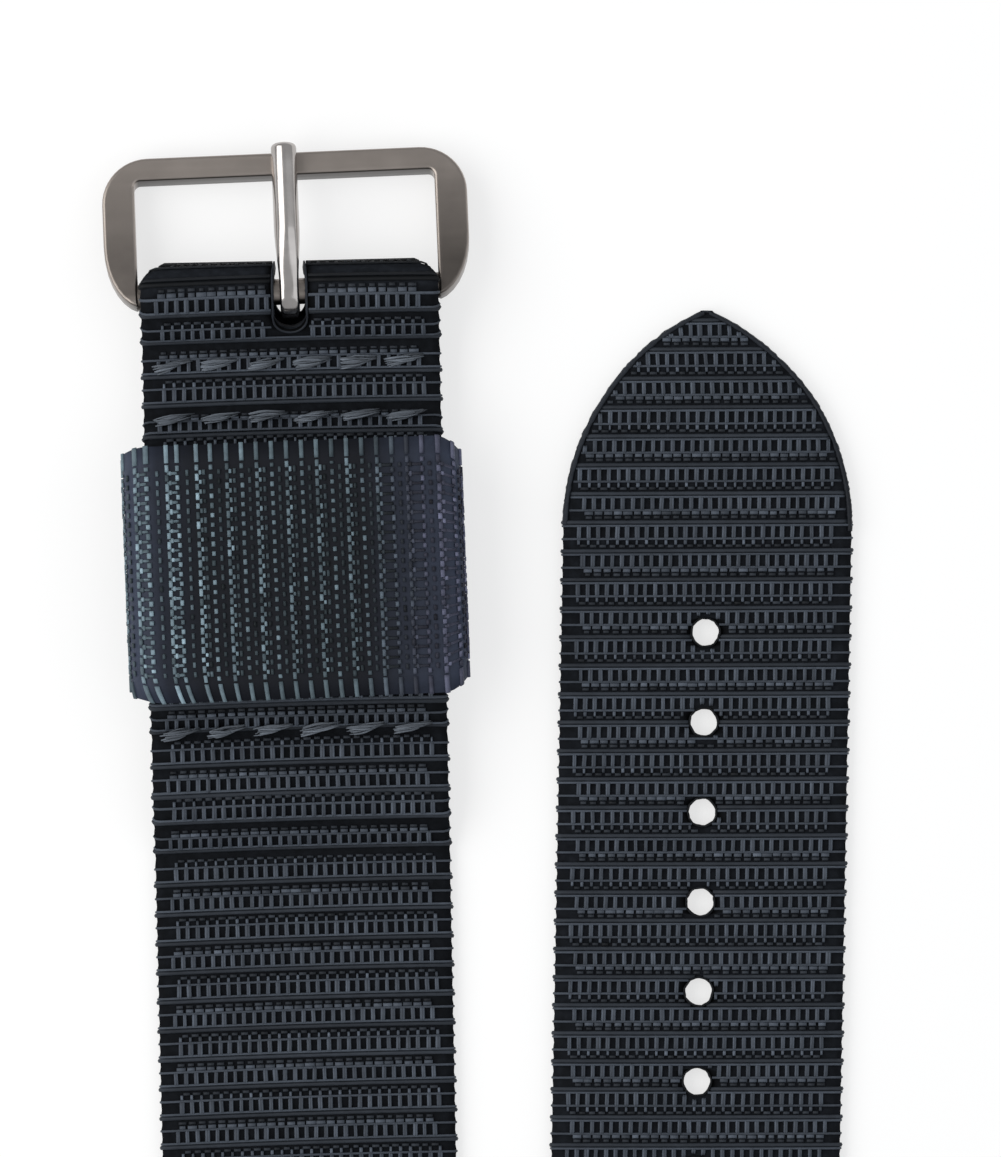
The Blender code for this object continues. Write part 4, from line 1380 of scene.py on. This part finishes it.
def wire_finish(name, colour):
    """Polished wire with a few faint marks."""
    finish = Finish(name)
    cloud = finish.noise(finish.place(), 500.0, 3.0)
    marks = finish.noise(finish.stretched(finish.place(), (4000.0, 500.0, 4000.0)), 1.0, 2.0)
    return finish.shade({
        "Base Color": finish.scaled(colour, 0.70 + 0.60 * cloud),
        "Metallic": 1.0,
        "Roughness": 0.13 + 0.10 * cloud,
        "Normal": finish.bump(marks, 0.10, STEEL_DEPTH),
    })


def stitch_rings(first, last, run, foot, side, sizes, random):
    """The strands of one stitch: a full lump where it starts, a thin tail where it ends."""
    heading = np.array((last - first).normalized())
    rise = np.array([0.0, 0.0, side])
    sideways = np.cross(rise, heading)
    turns = 2.0 * math.pi * np.arange(SIDES) / SIDES
    ring = np.cos(turns)[:, None] * sideways + np.sin(turns)[:, None] * rise
    inner = np.linspace(0.0, 1.0, 9)
    runs, tones = [], []
    for strand in range(sizes.strands):
        begin = random.uniform(*STRAND_BEGIN_SHARES)
        end = random.uniform(*(SHORT_STRAND_END_SHARES if strand % 3 else LONG_STRAND_END_SHARES))
        shares = begin + (end - begin) * inner
        dive = np.abs(2.0 * shares - 1.0) ** 6
        reach = random.uniform(*STRAND_REACH_SHARES)
        twist = random.uniform(0.0, 2.0 * math.pi) + random.uniform(*STRAND_TWISTS) * shares
        narrow = 1.0 - 0.55 * np.clip((shares - 0.45) / 0.4, 0.0, 1.0)
        line = np.array(first)[None] + np.array(last - first)[None] * shares[:, None]
        line[:, 2] = run + (foot - run) * dive + side * sizes.half_height * reach * np.sin(twist)
        line += sideways[None] * (sizes.half_width * reach * narrow * np.cos(twist))[:, None]
        thick = sizes.strand_radius * random.uniform(*STRAND_THICK_SHARES)
        thick = thick * np.sin(math.pi * (0.06 + 0.88 * inner)) ** 0.4
        runs.append(line[:, None, :] + thick[:, None, None] * ring[None])
        fade = (1.25 - 0.75 * shares) * random.uniform(*STRAND_TONE_SHARES)
        tones.append(np.repeat(fade[:, None], SIDES, axis=1))
    return np.array(runs), np.array(tones)


def sew_row(label, row, side, material, sizes, weave, route):
    """All the stitches of one row on one face, as one piece."""
    made = Yarns(SEED + int(row * 10000.0) + (1 if side > 0.0 else 2))
    spread = STITCH_SLANT + THREAD_RADIUS
    face = max(upper_middle(row - spread), upper_middle(row + spread)) if side > 0.0 else TAIL_MIDDLE
    run = face + side * (HALF_THICK + THREAD_GAP)
    foot = face + side * 0.3 * HALF_THICK
    for stitch in range(STITCH_COUNT):
        start = STITCH_FIRST + stitch * STITCH_PITCH
        places = []
        for x, slant in ((start + 0.4 * LEG_OFFSET, -STITCH_SLANT),
                         (start + STITCH_PITCH - 0.4 * LEG_OFFSET, STITCH_SLANT)):
            ahead = float(slanted_by(route, weave, FOLD_END, x))
            jitter = made.random.normal(0.0, 0.15 * THREAD_RADIUS)
            places.append(Vector((x, slant - row - ahead + jitter, 0.0)) + SHIFT)
        rings, tones = stitch_rings(places[0], places[1], run, foot, side, sizes, made.random)
        made.add(rings, tone=tones)
    name = ("needle_" if side > 0.0 else "bobbin_") + "stitches_" + label
    return made.made(name, lambda points: points, material)


class STRAP_OT_webbing(Operator):
    """Weaves the strap's webbing and lays it along the solid's route"""
    bl_idname = "strap.webbing"
    bl_label = "Weave Webbing"

    def execute(self, context):
        sizes = context.scene.strap_weave
        colours = context.scene.strap_colours
        route = strap_route(sizes)
        ribs = strap_ribs(route, sizes)
        rows = [float(length_of_distance(route, row)) for row in (ROW_FOLD, ROW_UPPER, ROW_LOWER)]
        rows += [TAIL_LENGTH - row for row in (ROW_FOLD, ROW_UPPER, ROW_LOWER)]
        ground = ground_finish("webbing_ground", colours.ground)
        yarn = yarn_finish("webbing_yarn", colours.yarn, 0.15)
        sealed = melted_finish("melted_nylon", colours.ground)
        ribbon = ground_ribbon("webbing_ground", route, ribs, sizes, ground, rows)
        cut_openings(ribbon, route, sizes)
        count = len(ribs.places)
        parts = ("tail", "sewn_end", "lying", "first_twist", "turn", "second_twist", "holes", "tip")
        borders = [count * index // len(parts) for index in range(len(parts) + 1)]
        pieces = []
        for part, first, last in zip(parts, borders, borders[1:]):
            pieces.append(weave_strap(
                route, ribs, sizes, range(first, last), "webbing_yarns_" + part, yarn, rows))
        pieces.append(melted_edges(route, sizes, sealed))
        for piece in [ribbon] + pieces:
            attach(piece, "strap")
        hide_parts("strap_webbing")
        return {"FINISHED"}


class STRAP_OT_stitches(Operator):
    """Sews the three rows, on both faces"""
    bl_idname = "strap.stitches"
    bl_label = "Sew Stitches"

    def execute(self, context):
        sizes = context.scene.strap_thread
        weave = context.scene.strap_weave
        route = strap_route(weave)
        thread = yarn_finish("sewing_thread", context.scene.strap_colours.thread, 0.2)
        rows = {"fold": ROW_FOLD, "upper": ROW_UPPER, "lower": ROW_LOWER}
        for label, row in rows.items():
            for side, node in ((1.0, "needle_thread_"), (-1.0, "bobbin_thread_")):
                piece = sew_row(label, row, side, thread, sizes, weave, route)
                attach(piece, "strap")
                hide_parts(node + label)
        return {"FINISHED"}


# Tones over the keeper from its left side to its right, and where they are, in half widths: painted
# light on its rounded sides and left shoulder, painted shade over the middle and right of its front
BAND_STOP_SHARES = np.array([-1.0, -0.85, -0.6, 0.45, 0.68, 0.9, 1.05])
BAND_TONE_SHARES = (7.0, 2.6, 1.0, 1.0, 3.4, 5.0, 8.5)
KEEPER_STOP_SHARES = np.array([-1.0, -0.85, -0.68, -0.45, 0.0, 0.5, 0.75, 0.95, 1.05])
KEEPER_YARN_SHARES = (1.1, 1.60, 1.50, 0.88, 0.72, 0.66, 0.42, 1.05, 1.25)
KEEPER_RUNG_SHARES = (0.9, 1.35, 1.2, 0.24, 0.10, 0.10, 0.36, 0.90, 1.10)
KEEPER_END_TONE_SHARE = 0.9


def keeper_side(route, along):
    """How far right of the keeper's middle a length along it is, and whether it is in front."""
    middle = route.read(along % route.length, route.middle)
    heights = route.middle[:, 2]
    front = middle[:, 2] > (heights.max() + heights.min()) / 2.0
    return middle[:, 0] - SHIFT.x, front


def keeper_lay(route, sizes, flat):
    """Lays the keeper's flat points, with its drawn-in shoulders, leaning ends and slight turn."""
    made = flat.copy()
    half = KEEPER_LENGTH / 2.0
    side, front = keeper_side(route, flat[:, 0])
    edge = HALF_WIDTH + KEEPER_SIDE + KEEPER_THICK / 2.0
    shoulder = np.clip((np.abs(side) - sizes.flat_half) / (edge - sizes.flat_half), 0.0, 1.0) ** 2
    drawn = np.where(side > 0.0, sizes.right_round, sizes.left_round) * shoulder
    made[:, 1] *= np.where(front, 1.0, sizes.back_share) - drawn / half
    low = np.clip((flat[:, 1] - half + 2.0 * sizes.selvedge) / (2.0 * sizes.selvedge), 0.0, 1.0) ** 2
    lean = np.interp(side, [-0.7 * edge, -0.3 * edge, 0.7 * edge], [1.0, 0.35, 0.1])
    made[:, 0] -= np.where(front, sizes.end_lean * lean * low, 0.0)
    placed = route.lay(made)
    centre = np.array([SHIFT.x, SHIFT.y - KEEPER_PLACE])
    cos, sin = math.cos(sizes.turn), math.sin(sizes.turn)
    planar = placed[:, :2] - centre
    placed[:, 0] = centre[0] + cos * planar[:, 0] - sin * planar[:, 1]
    placed[:, 1] = centre[1] + sin * planar[:, 0] + cos * planar[:, 1]
    return placed


def keeper_band(route, sizes, material):
    """The keeper's closed band under its yarns."""
    count = sizes.rib_count * RIB_STEPS
    along = route.length * np.arange(count) / count
    relief = KEEPER_THICK / 2.0 - THREAD_RADIUS / 2.0
    reach = KEEPER_LENGTH / 2.0 - sizes.line_half
    shares = np.linspace(1.0, -1.0, BAND_COLUMNS)
    points = []
    for place in along:
        points += [(place, reach * share, relief) for share in shares]
        points += [(place, -reach * share, -KEEPER_THICK / 2.0) for share in shares]
    quads = ring_quads(count, 2 * len(shares), closed=True)
    flat = np.array(points)
    band = mesh_object("keeper_band", keeper_lay(route, sizes, flat), quads, material)
    side, _ = keeper_side(route, flat[:, 0])
    edge = HALF_WIDTH + KEEPER_SIDE
    # Painted light on the band's rounded sides
    set_tone(band, np.interp(side, BAND_STOP_SHARES * edge, BAND_TONE_SHARES))
    return band


def keeper_lines(route, sizes):
    """Lengths along the keeper of its weft lines."""
    front = np.argmin(np.abs(route.middle[:, 0] - SHIFT.x) - route.middle[:, 2])
    pitch = route.length / sizes.rib_count
    return route.at[front] + sizes.first_line + pitch * np.arange(sizes.rib_count)


def cell_spots(lines, spots):
    """Every place of a row of cells on every line."""
    grid = np.stack(np.meshgrid(lines, spots, indexing="ij"), axis=-1)
    return grid.reshape(-1, 2)


def keeper_tones(route, along, values):
    """Painted light and shade that change from the keeper's left side over its front to its right side.
    """
    side, _ = keeper_side(route, along)
    edge = HALF_WIDTH + KEEPER_SIDE
    return np.interp(side, KEEPER_STOP_SHARES * edge, values)


def keeper_yarns(route, sizes, material):
    """The keeper's ribs: weft lines, lines of dots, and rungs between them."""
    yarns = Yarns(SEED + 50)
    lines = keeper_lines(route, sizes)
    side, _ = keeper_side(route, lines)
    apart = sizes.dot_place * (1.0 - sizes.ladder * np.clip(
        (-side - LADDER_START) / LADDER_RUN, 0.0, 1.0))
    dots = lines - apart
    top = KEEPER_THICK / 2.0
    woven = KEEPER_LENGTH / 2.0 - sizes.selvedge
    spots = (np.arange(sizes.cells) - (sizes.cells - 1) / 2.0) * sizes.cell_pitch
    between = spots[:-1] + sizes.cell_pitch / 2.0
    spots = spots[np.abs(spots) < woven]
    between = between[np.abs(between) < woven]
    groups = (
        (cell_spots(lines, spots), 0.34 * sizes.cell_pitch, sizes.line_half, 0.35),
        (cell_spots(lines - 1.8 * sizes.line_half, between),
         0.22 * sizes.cell_pitch, 0.75 * sizes.line_half, 0.45),
        (cell_spots(dots, spots), sizes.dot_reach, sizes.dot_half, 0.30),
    )
    for group, reach, half, spread in groups:
        rings = cell_rings(group[:, 0], group[:, 1], reach, half, top, yarns.random)
        yarns.add(rings, tone=keeper_tones(route, group[:, 0], KEEPER_YARN_SHARES), spread=spread)
    held = np.abs(side + sizes.bare_middle) > sizes.bare_half
    pitch = route.length / sizes.rib_count
    faint = np.concatenate([lines - 0.5 * (apart + pitch), (lines - 0.5 * apart)[~held]])
    group = cell_spots(faint, between)
    rings = cell_rings(
        group[:, 0], group[:, 1], 1.1 * sizes.dot_reach, 0.8 * sizes.dot_half, top, yarns.random)
    tones = sizes.faint_share * keeper_tones(route, group[:, 0], KEEPER_YARN_SHARES)
    yarns.add(rings, tone=tones, spread=0.35)
    rungs = cell_spots(lines[held], between)
    rings, tones = float_rings(
        rungs[:, 0] - np.repeat(apart[held], len(between)), rungs[:, 0], rungs[:, 1], sizes.rung_half,
        top - sizes.rung_depth, yarns.random)
    # Painted light and shade on the rungs: lit on the left shoulder and far right side, shaded between
    faint = keeper_tones(route, rungs[:, 0], KEEPER_RUNG_SHARES)
    yarns.add(rings, tone=tones * faint[:, None, None])
    end = KEEPER_LENGTH / 2.0 - 0.5 * sizes.line_half
    across = np.linspace(end - sizes.selvedge, end, END_POINTS)
    centres = np.stack([across, np.full(END_POINTS, top - sizes.line_half)], axis=1)
    outward = np.tile([0.0, 1.0], (END_POINTS, 1))
    for along in np.concatenate([lines, dots]):
        value = KEEPER_END_TONE_SHARE * keeper_tones(
            route, np.array([along]), KEEPER_YARN_SHARES)[0]
        for side in (1.0, -1.0):
            placed = centres * np.array([side, 1.0])
            rings = rail_rings(along, placed, outward, 1.3 * sizes.line_half, sizes.line_half)
            yarns.add(rings if side > 0.0 else rings[:, ::-1], tone=value, spread=0.2)
    return yarns.made("keeper_yarns", lambda flat: keeper_lay(route, sizes, flat), material)


class STRAP_OT_keeper(Operator):
    """Weaves the keeper loop"""
    bl_idname = "strap.keeper"
    bl_label = "Weave Keeper"

    def execute(self, context):
        sizes = context.scene.strap_keeper
        colours = context.scene.strap_colours
        route = keeper_route()
        base = keeper_finish("keeper_ground", colours.keeper_ground, colours.keeper_ground, 0.7)
        cloth = keeper_finish("keeper_yarn", colours.keeper_yarn, colours.keeper_slate, 0.35)
        band = keeper_band(route, sizes, base)
        yarns = keeper_yarns(route, sizes, cloth)
        for piece in (band, yarns):
            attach(piece, "keeper")
        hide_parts("keeper_loop")
        return {"FINISHED"}


def arc(centre, radii, start, end, steps=ARC_STEPS):
    """Points on an ellipse's arc, both ends included."""
    turns = [start + (end - start) * step / steps for step in range(steps + 1)]
    return [(centre[0] + radii[0] * math.cos(turn), centre[1] + radii[1] * math.sin(turn))
            for turn in turns]


def frame_outline(sizes):
    """The frame's two arms and top bar seen from above, round their edge."""
    level, up = 0.0, math.pi / 2.0
    centre = (sizes.outer_half - sizes.foot_side, sizes.foot_rise - sizes.foot_drop)
    low = -math.acos((sizes.inner_half - centre[0]) / sizes.foot_side)
    outer = arc(centre, (sizes.foot_side, sizes.foot_rise), low, level, FOOT_STEPS)
    outer += arc(
        (sizes.outer_half - sizes.top_corner, sizes.reach - sizes.top_corner),
        (sizes.top_corner, sizes.top_corner), level, up)
    inner_reach = sizes.reach - sizes.bar_width
    inner = arc(
        (sizes.inner_half - sizes.inner_corner, inner_reach - sizes.inner_corner),
        (sizes.inner_corner, sizes.inner_corner), level, up)
    half = outer + [(-x, y) for x, y in reversed(outer)]
    return half + [(-x, y) for x, y in inner] + list(reversed(inner))


def add_frame_plate(sizes):
    """The frame as a flat plate with rounded edges, cut to its outline."""
    outline = frame_outline(sizes)
    plate = added(
        bpy.ops.mesh.primitive_circle_add, vertices=len(outline), radius=sizes.reach,
        fill_type="NGON")
    for vertex, (x, y) in zip(plate.data.vertices, outline):
        vertex.co = (x, y, FRAME_HALF_THICK)
    bpy.ops.object.mode_set(mode="EDIT")
    bpy.ops.mesh.select_all(action="SELECT")
    bpy.ops.mesh.extrude_region_move(
        TRANSFORM_OT_translate={"value": (0.0, 0.0, -2.0 * FRAME_HALF_THICK)})
    bpy.ops.mesh.select_all(action="SELECT")
    bpy.ops.mesh.normals_make_consistent(inside=False)
    bpy.ops.mesh.select_all(action="DESELECT")
    bpy.ops.mesh.select_mode(type="EDGE")
    bpy.ops.mesh.edges_select_sharp(sharpness=math.radians(60.0))
    bpy.ops.mesh.bevel(offset=sizes.edge, segments=4, affect="EDGES")
    bpy.ops.mesh.select_all(action="DESELECT")
    bpy.ops.mesh.select_mode(type="FACE")
    bpy.ops.mesh.select_face_by_sides(number=8, type="GREATER", extend=False)
    bpy.ops.mesh.inset(thickness=sizes.margin, depth=0.0)
    bpy.ops.object.mode_set(mode="OBJECT")
    return plate


def droop_turn(sizes):
    """The turn and lean that the buckle lies with, about its heel bar."""
    droop = math.asin((BAR_HEIGHT - FRAME_HALF_THICK - REST_GAP) / sizes.reach)
    return Matrix.Rotation(sizes.turn, 4, "Z") @ Matrix.Rotation(-droop, 4, "X")


class STRAP_OT_frame(Operator):
    """Makes the brushed buckle frame"""
    bl_idname = "strap.frame"
    bl_label = "Make Frame"

    def execute(self, context):
        sizes = context.scene.strap_frame
        plate = add_frame_plate(sizes)
        bar = added(
            bpy.ops.mesh.primitive_cylinder_add, vertices=BAR_SIDES, radius=BAR_RADIUS,
            depth=2.0 * sizes.inner_half + sizes.edge, rotation=(0.0, math.pi / 2.0, 0.0))
        joined([plate, bar])
        place = Vector((SHIFT.x - sizes.offset, SHIFT.y, BAR_HEIGHT))
        plate.matrix_world = Matrix.Translation(place) @ droop_turn(sizes)
        settle(plate)
        bpy.ops.object.shade_smooth_by_angle(angle=math.radians(35.0))
        plate.name = "frame_body"
        plate.data.materials.clear()
        plate.data.materials.append(frame_finish("brushed_steel", context.scene.strap_colours.steel))
        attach(plate, "buckle")
        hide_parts("buckle_frame")
        return {"FINISHED"}


def tongue_stations(sizes):
    """The tongue's middle line in its own YZ plane, from the pin's end round the loop.

    Each entry is y, z, half thickness, half width and how square the section is.
    """
    seat = FRAME_HALF_THICK + PIN_SEAT + sizes.pin_half
    loop_radius = BAR_RADIUS + LOOP_PLAY + LOOP_HALF_THICK
    found = []
    for step in range(NOSE_STEPS + 1):
        turn = math.pi / 2.0 * step / NOSE_STEPS
        size = sizes.pin_half - sizes.nose * (1.0 - math.sin(turn))
        found.append((sizes.pin_reach - sizes.nose * (1.0 - math.cos(turn)), seat, size, size, 0.0))
    straight = sizes.pin_reach - sizes.nose - PIN_KINK
    for step in range(1, PIN_STEPS):
        y = PIN_KINK + straight * (1.0 - step / PIN_STEPS)
        found.append((y, seat, sizes.pin_half, sizes.pin_half, 0.0))
    for step in range(KINK_STEPS):
        flat = eased(step / KINK_STEPS)
        found.append((
            PIN_KINK * (1.0 - step / KINK_STEPS), seat + (loop_radius - seat) * flat,
            sizes.pin_half + (LOOP_HALF_THICK - sizes.pin_half) * flat,
            sizes.pin_half + (sizes.foot_half - sizes.pin_half) * flat, flat))
    for step in range(LOOP_STEPS + 1):
        turn = math.pi / 2.0 + (LOOP_END - math.pi / 2.0) * step / LOOP_STEPS
        found.append((
            loop_radius * math.cos(turn), loop_radius * math.sin(turn),
            LOOP_HALF_THICK, sizes.foot_half, 1.0))
    return found


def squared(turns, power):
    """Points on a unit circle that a higher power draws out into a rounded square."""
    across = np.sign(np.cos(turns)) * np.abs(np.cos(turns)) ** (2.0 / power)
    rise = np.sign(np.sin(turns)) * np.abs(np.sin(turns)) ** (2.0 / power)
    return across, rise


def wire_mesh(name, stations, material):
    """A wire along stations in the YZ plane, closed with small rings at both ends."""
    turns = 2.0 * math.pi * np.arange(WIRE_SIDES) / WIRE_SIDES
    rings = []
    for index, (y, z, thick, wide, flat) in enumerate(stations):
        before = stations[max(index - 1, 0)]
        after = stations[min(index + 1, len(stations) - 1)]
        heading = Vector((0.0, after[0] - before[0], after[1] - before[1])).normalized()
        normal = np.array(heading.cross(Vector((1.0, 0.0, 0.0))))
        across, rise = squared(turns, 2.0 + 1.5 * flat)
        ring = np.array([0.0, y, z]) + np.outer(rise * thick, normal)
        ring[:, 0] += across * wide
        rings.append(ring)
    for end in (0, -1):
        ring = rings[end]
        for shrink in (0.6, 0.2):
            inner = ring.mean(axis=0) + (ring - ring.mean(axis=0)) * shrink
            rings = [inner] + rings if end == 0 else rings + [inner]
    last = (len(rings) - 1) * WIRE_SIDES
    caps = []
    for side in range(0, WIRE_SIDES - 2, 2):
        far = (side + 3) % WIRE_SIDES
        caps.append((0, side + 1, side + 2, far))
        caps.append((last, last + far, last + side + 2, last + side + 1))
    turned = ring_quads(len(rings), WIRE_SIDES)[:, [0, 3, 2, 1]]
    return mesh_object(name, np.concatenate(rings), np.concatenate([turned, caps]), material)


class STRAP_OT_tongue(Operator):
    """Makes the polished tongue"""
    bl_idname = "strap.tongue"
    bl_label = "Make Tongue"

    def execute(self, context):
        sizes = context.scene.strap_frame
        wire = wire_finish("polished_wire", context.scene.strap_colours.wire)
        piece = wire_mesh("tongue_pin", tongue_stations(sizes), wire)
        place = Vector((SHIFT.x, SHIFT.y, BAR_HEIGHT))
        piece.matrix_world = Matrix.Translation(place) @ droop_turn(sizes)
        settle(piece)
        bpy.ops.object.mode_set(mode="EDIT")
        bpy.ops.mesh.select_all(action="SELECT")
        bpy.ops.mesh.normals_make_consistent(inside=False)
        bpy.ops.object.mode_set(mode="OBJECT")
        bpy.ops.object.shade_smooth_by_angle(angle=math.radians(60.0))
        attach(piece, "tongue")
        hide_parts("buckle_tongue")
        return {"FINISHED"}


def add_floor(sizes):
    """A plain pale table that shows white and keeps a little of the strap's shadow."""
    floor = added(
        bpy.ops.mesh.primitive_plane_add, size=TABLE_SIZE, location=(0.0, 0.0, -TABLE_DROP))
    floor.name = "table"
    finish = Finish("table_white")
    rays = finish.node("ShaderNodeLightPath")
    seen = rays.out("Is Camera Ray") + rays.out("Is Glossy Ray") + rays.out("Is Transmission Ray")
    plain = finish.node("ShaderNodeBsdfDiffuse", {}, {"Color": (0.95, 0.95, 0.95)}).out()
    glow = finish.node("ShaderNodeEmission", {}, {"Color": (1.0, 1.0, 1.0), "Strength": 1.0}).out()
    made = finish.node(
        "ShaderNodeMixShader", {}, {0: seen.clipped() * sizes.floor_share, 1: plain, 2: glow})
    finish.tree.links.new(made.node.outputs[0], finish.output.inputs["Surface"])
    floor.data.materials.append(finish.owner)


def add_lamp(name, place, aim, size, power, colour):
    """An area lamp at a place, turned to a point."""
    lamp = added(bpy.ops.object.light_add, type="AREA", location=place)
    lamp.name = name
    lamp.data.shape = "RECTANGLE"
    lamp.data.size, lamp.data.size_y = size
    lamp.data.energy = power
    lamp.data.color = colour
    lamp.rotation_euler = (Vector(aim) - Vector(place)).to_track_quat("-Z", "Y").to_euler()
    return lamp


def add_room(level):
    """Even light all round."""
    finish = Finish("room", world=True)
    made = finish.node(
        "ShaderNodeBackground", {}, {"Color": (0.97, 0.985, 1.0), "Strength": level})
    finish.tree.links.new(made.node.outputs[0], finish.output.inputs["Surface"])
    bpy.context.scene.world = finish.owner


def add_camera(sizes):
    """The camera straight above the two ends, turned as in the photograph."""
    middle = Vector(sizes.view_middle)
    camera = added(bpy.ops.object.camera_add, location=middle + UP * sizes.camera_height)
    camera.name = "photograph_view"
    camera.data.sensor_width = SENSOR_MM
    camera.data.lens = SENSOR_MM * sizes.camera_height / sizes.view_height
    camera.data.clip_start = CLIP_NEAR
    camera.data.clip_end = CLIP_FAR
    camera.rotation_euler = (0.0, 0.0, -sizes.camera_turn)
    bpy.context.scene.camera = camera


class STRAP_OT_stage(Operator):
    """Sets the table, the lamps and the camera"""
    bl_idname = "strap.stage"
    bl_label = "Set Stage"

    def execute(self, context):
        sizes = context.scene.strap_stage
        add_floor(sizes)
        aim = sizes.view_middle
        add_lamp("key_lamp", KEY_PLACE, aim, KEY_SIZE, sizes.key_power, (1.0, 0.99, 0.97))
        add_lamp("fill_lamp", FILL_PLACE, aim, FILL_SIZE, sizes.fill_power, (0.94, 0.97, 1.0))
        add_room(sizes.world_level)
        add_camera(sizes)
        context.scene.view_settings.view_transform = "Standard"
        return {"FINISHED"}


class STRAP_PT_panel(Panel):
    """Lists the strap's pieces"""
    bl_label = "Watch Strap"
    bl_idname = "STRAP_PT_panel"
    bl_space_type = "VIEW_3D"
    bl_region_type = "UI"
    bl_category = "Strap"

    def draw(self, context):
        for operator in OPERATORS:
            self.layout.operator(operator.bl_idname)
        for name in SETTINGS:
            box = self.layout.box()
            settings = getattr(context.scene, name)
            for key in settings.bl_rna.properties.keys():
                if key not in {"rna_type", "name"}:
                    box.prop(settings, key)


OPERATORS = (
    STRAP_OT_stage, STRAP_OT_webbing, STRAP_OT_stitches, STRAP_OT_keeper, STRAP_OT_frame,
    STRAP_OT_tongue,
)
SETTINGS = {
    "strap_weave": WeaveSizes,
    "strap_keeper": KeeperSizes,
    "strap_thread": ThreadSizes,
    "strap_frame": FrameSizes,
    "strap_colours": StrapColours,
    "strap_stage": StageSizes,
}


def register():
    for group in SETTINGS.values():
        bpy.utils.register_class(group)
    for name, group in SETTINGS.items():
        setattr(bpy.types.Scene, name, PointerProperty(type=group))
    for operator in OPERATORS:
        bpy.utils.register_class(operator)
    bpy.utils.register_class(STRAP_PT_panel)


def unregister():
    bpy.utils.unregister_class(STRAP_PT_panel)
    for operator in reversed(OPERATORS):
        bpy.utils.unregister_class(operator)
    for name, group in SETTINGS.items():
        delattr(bpy.types.Scene, name)
        bpy.utils.unregister_class(group)


def main():
    register()
    bpy.ops.strap.stage()
    bpy.ops.strap.webbing()
    bpy.ops.strap.stitches()
    bpy.ops.strap.keeper()
    bpy.ops.strap.frame()
    bpy.ops.strap.tongue()


if __name__ == "__main__":
    main()
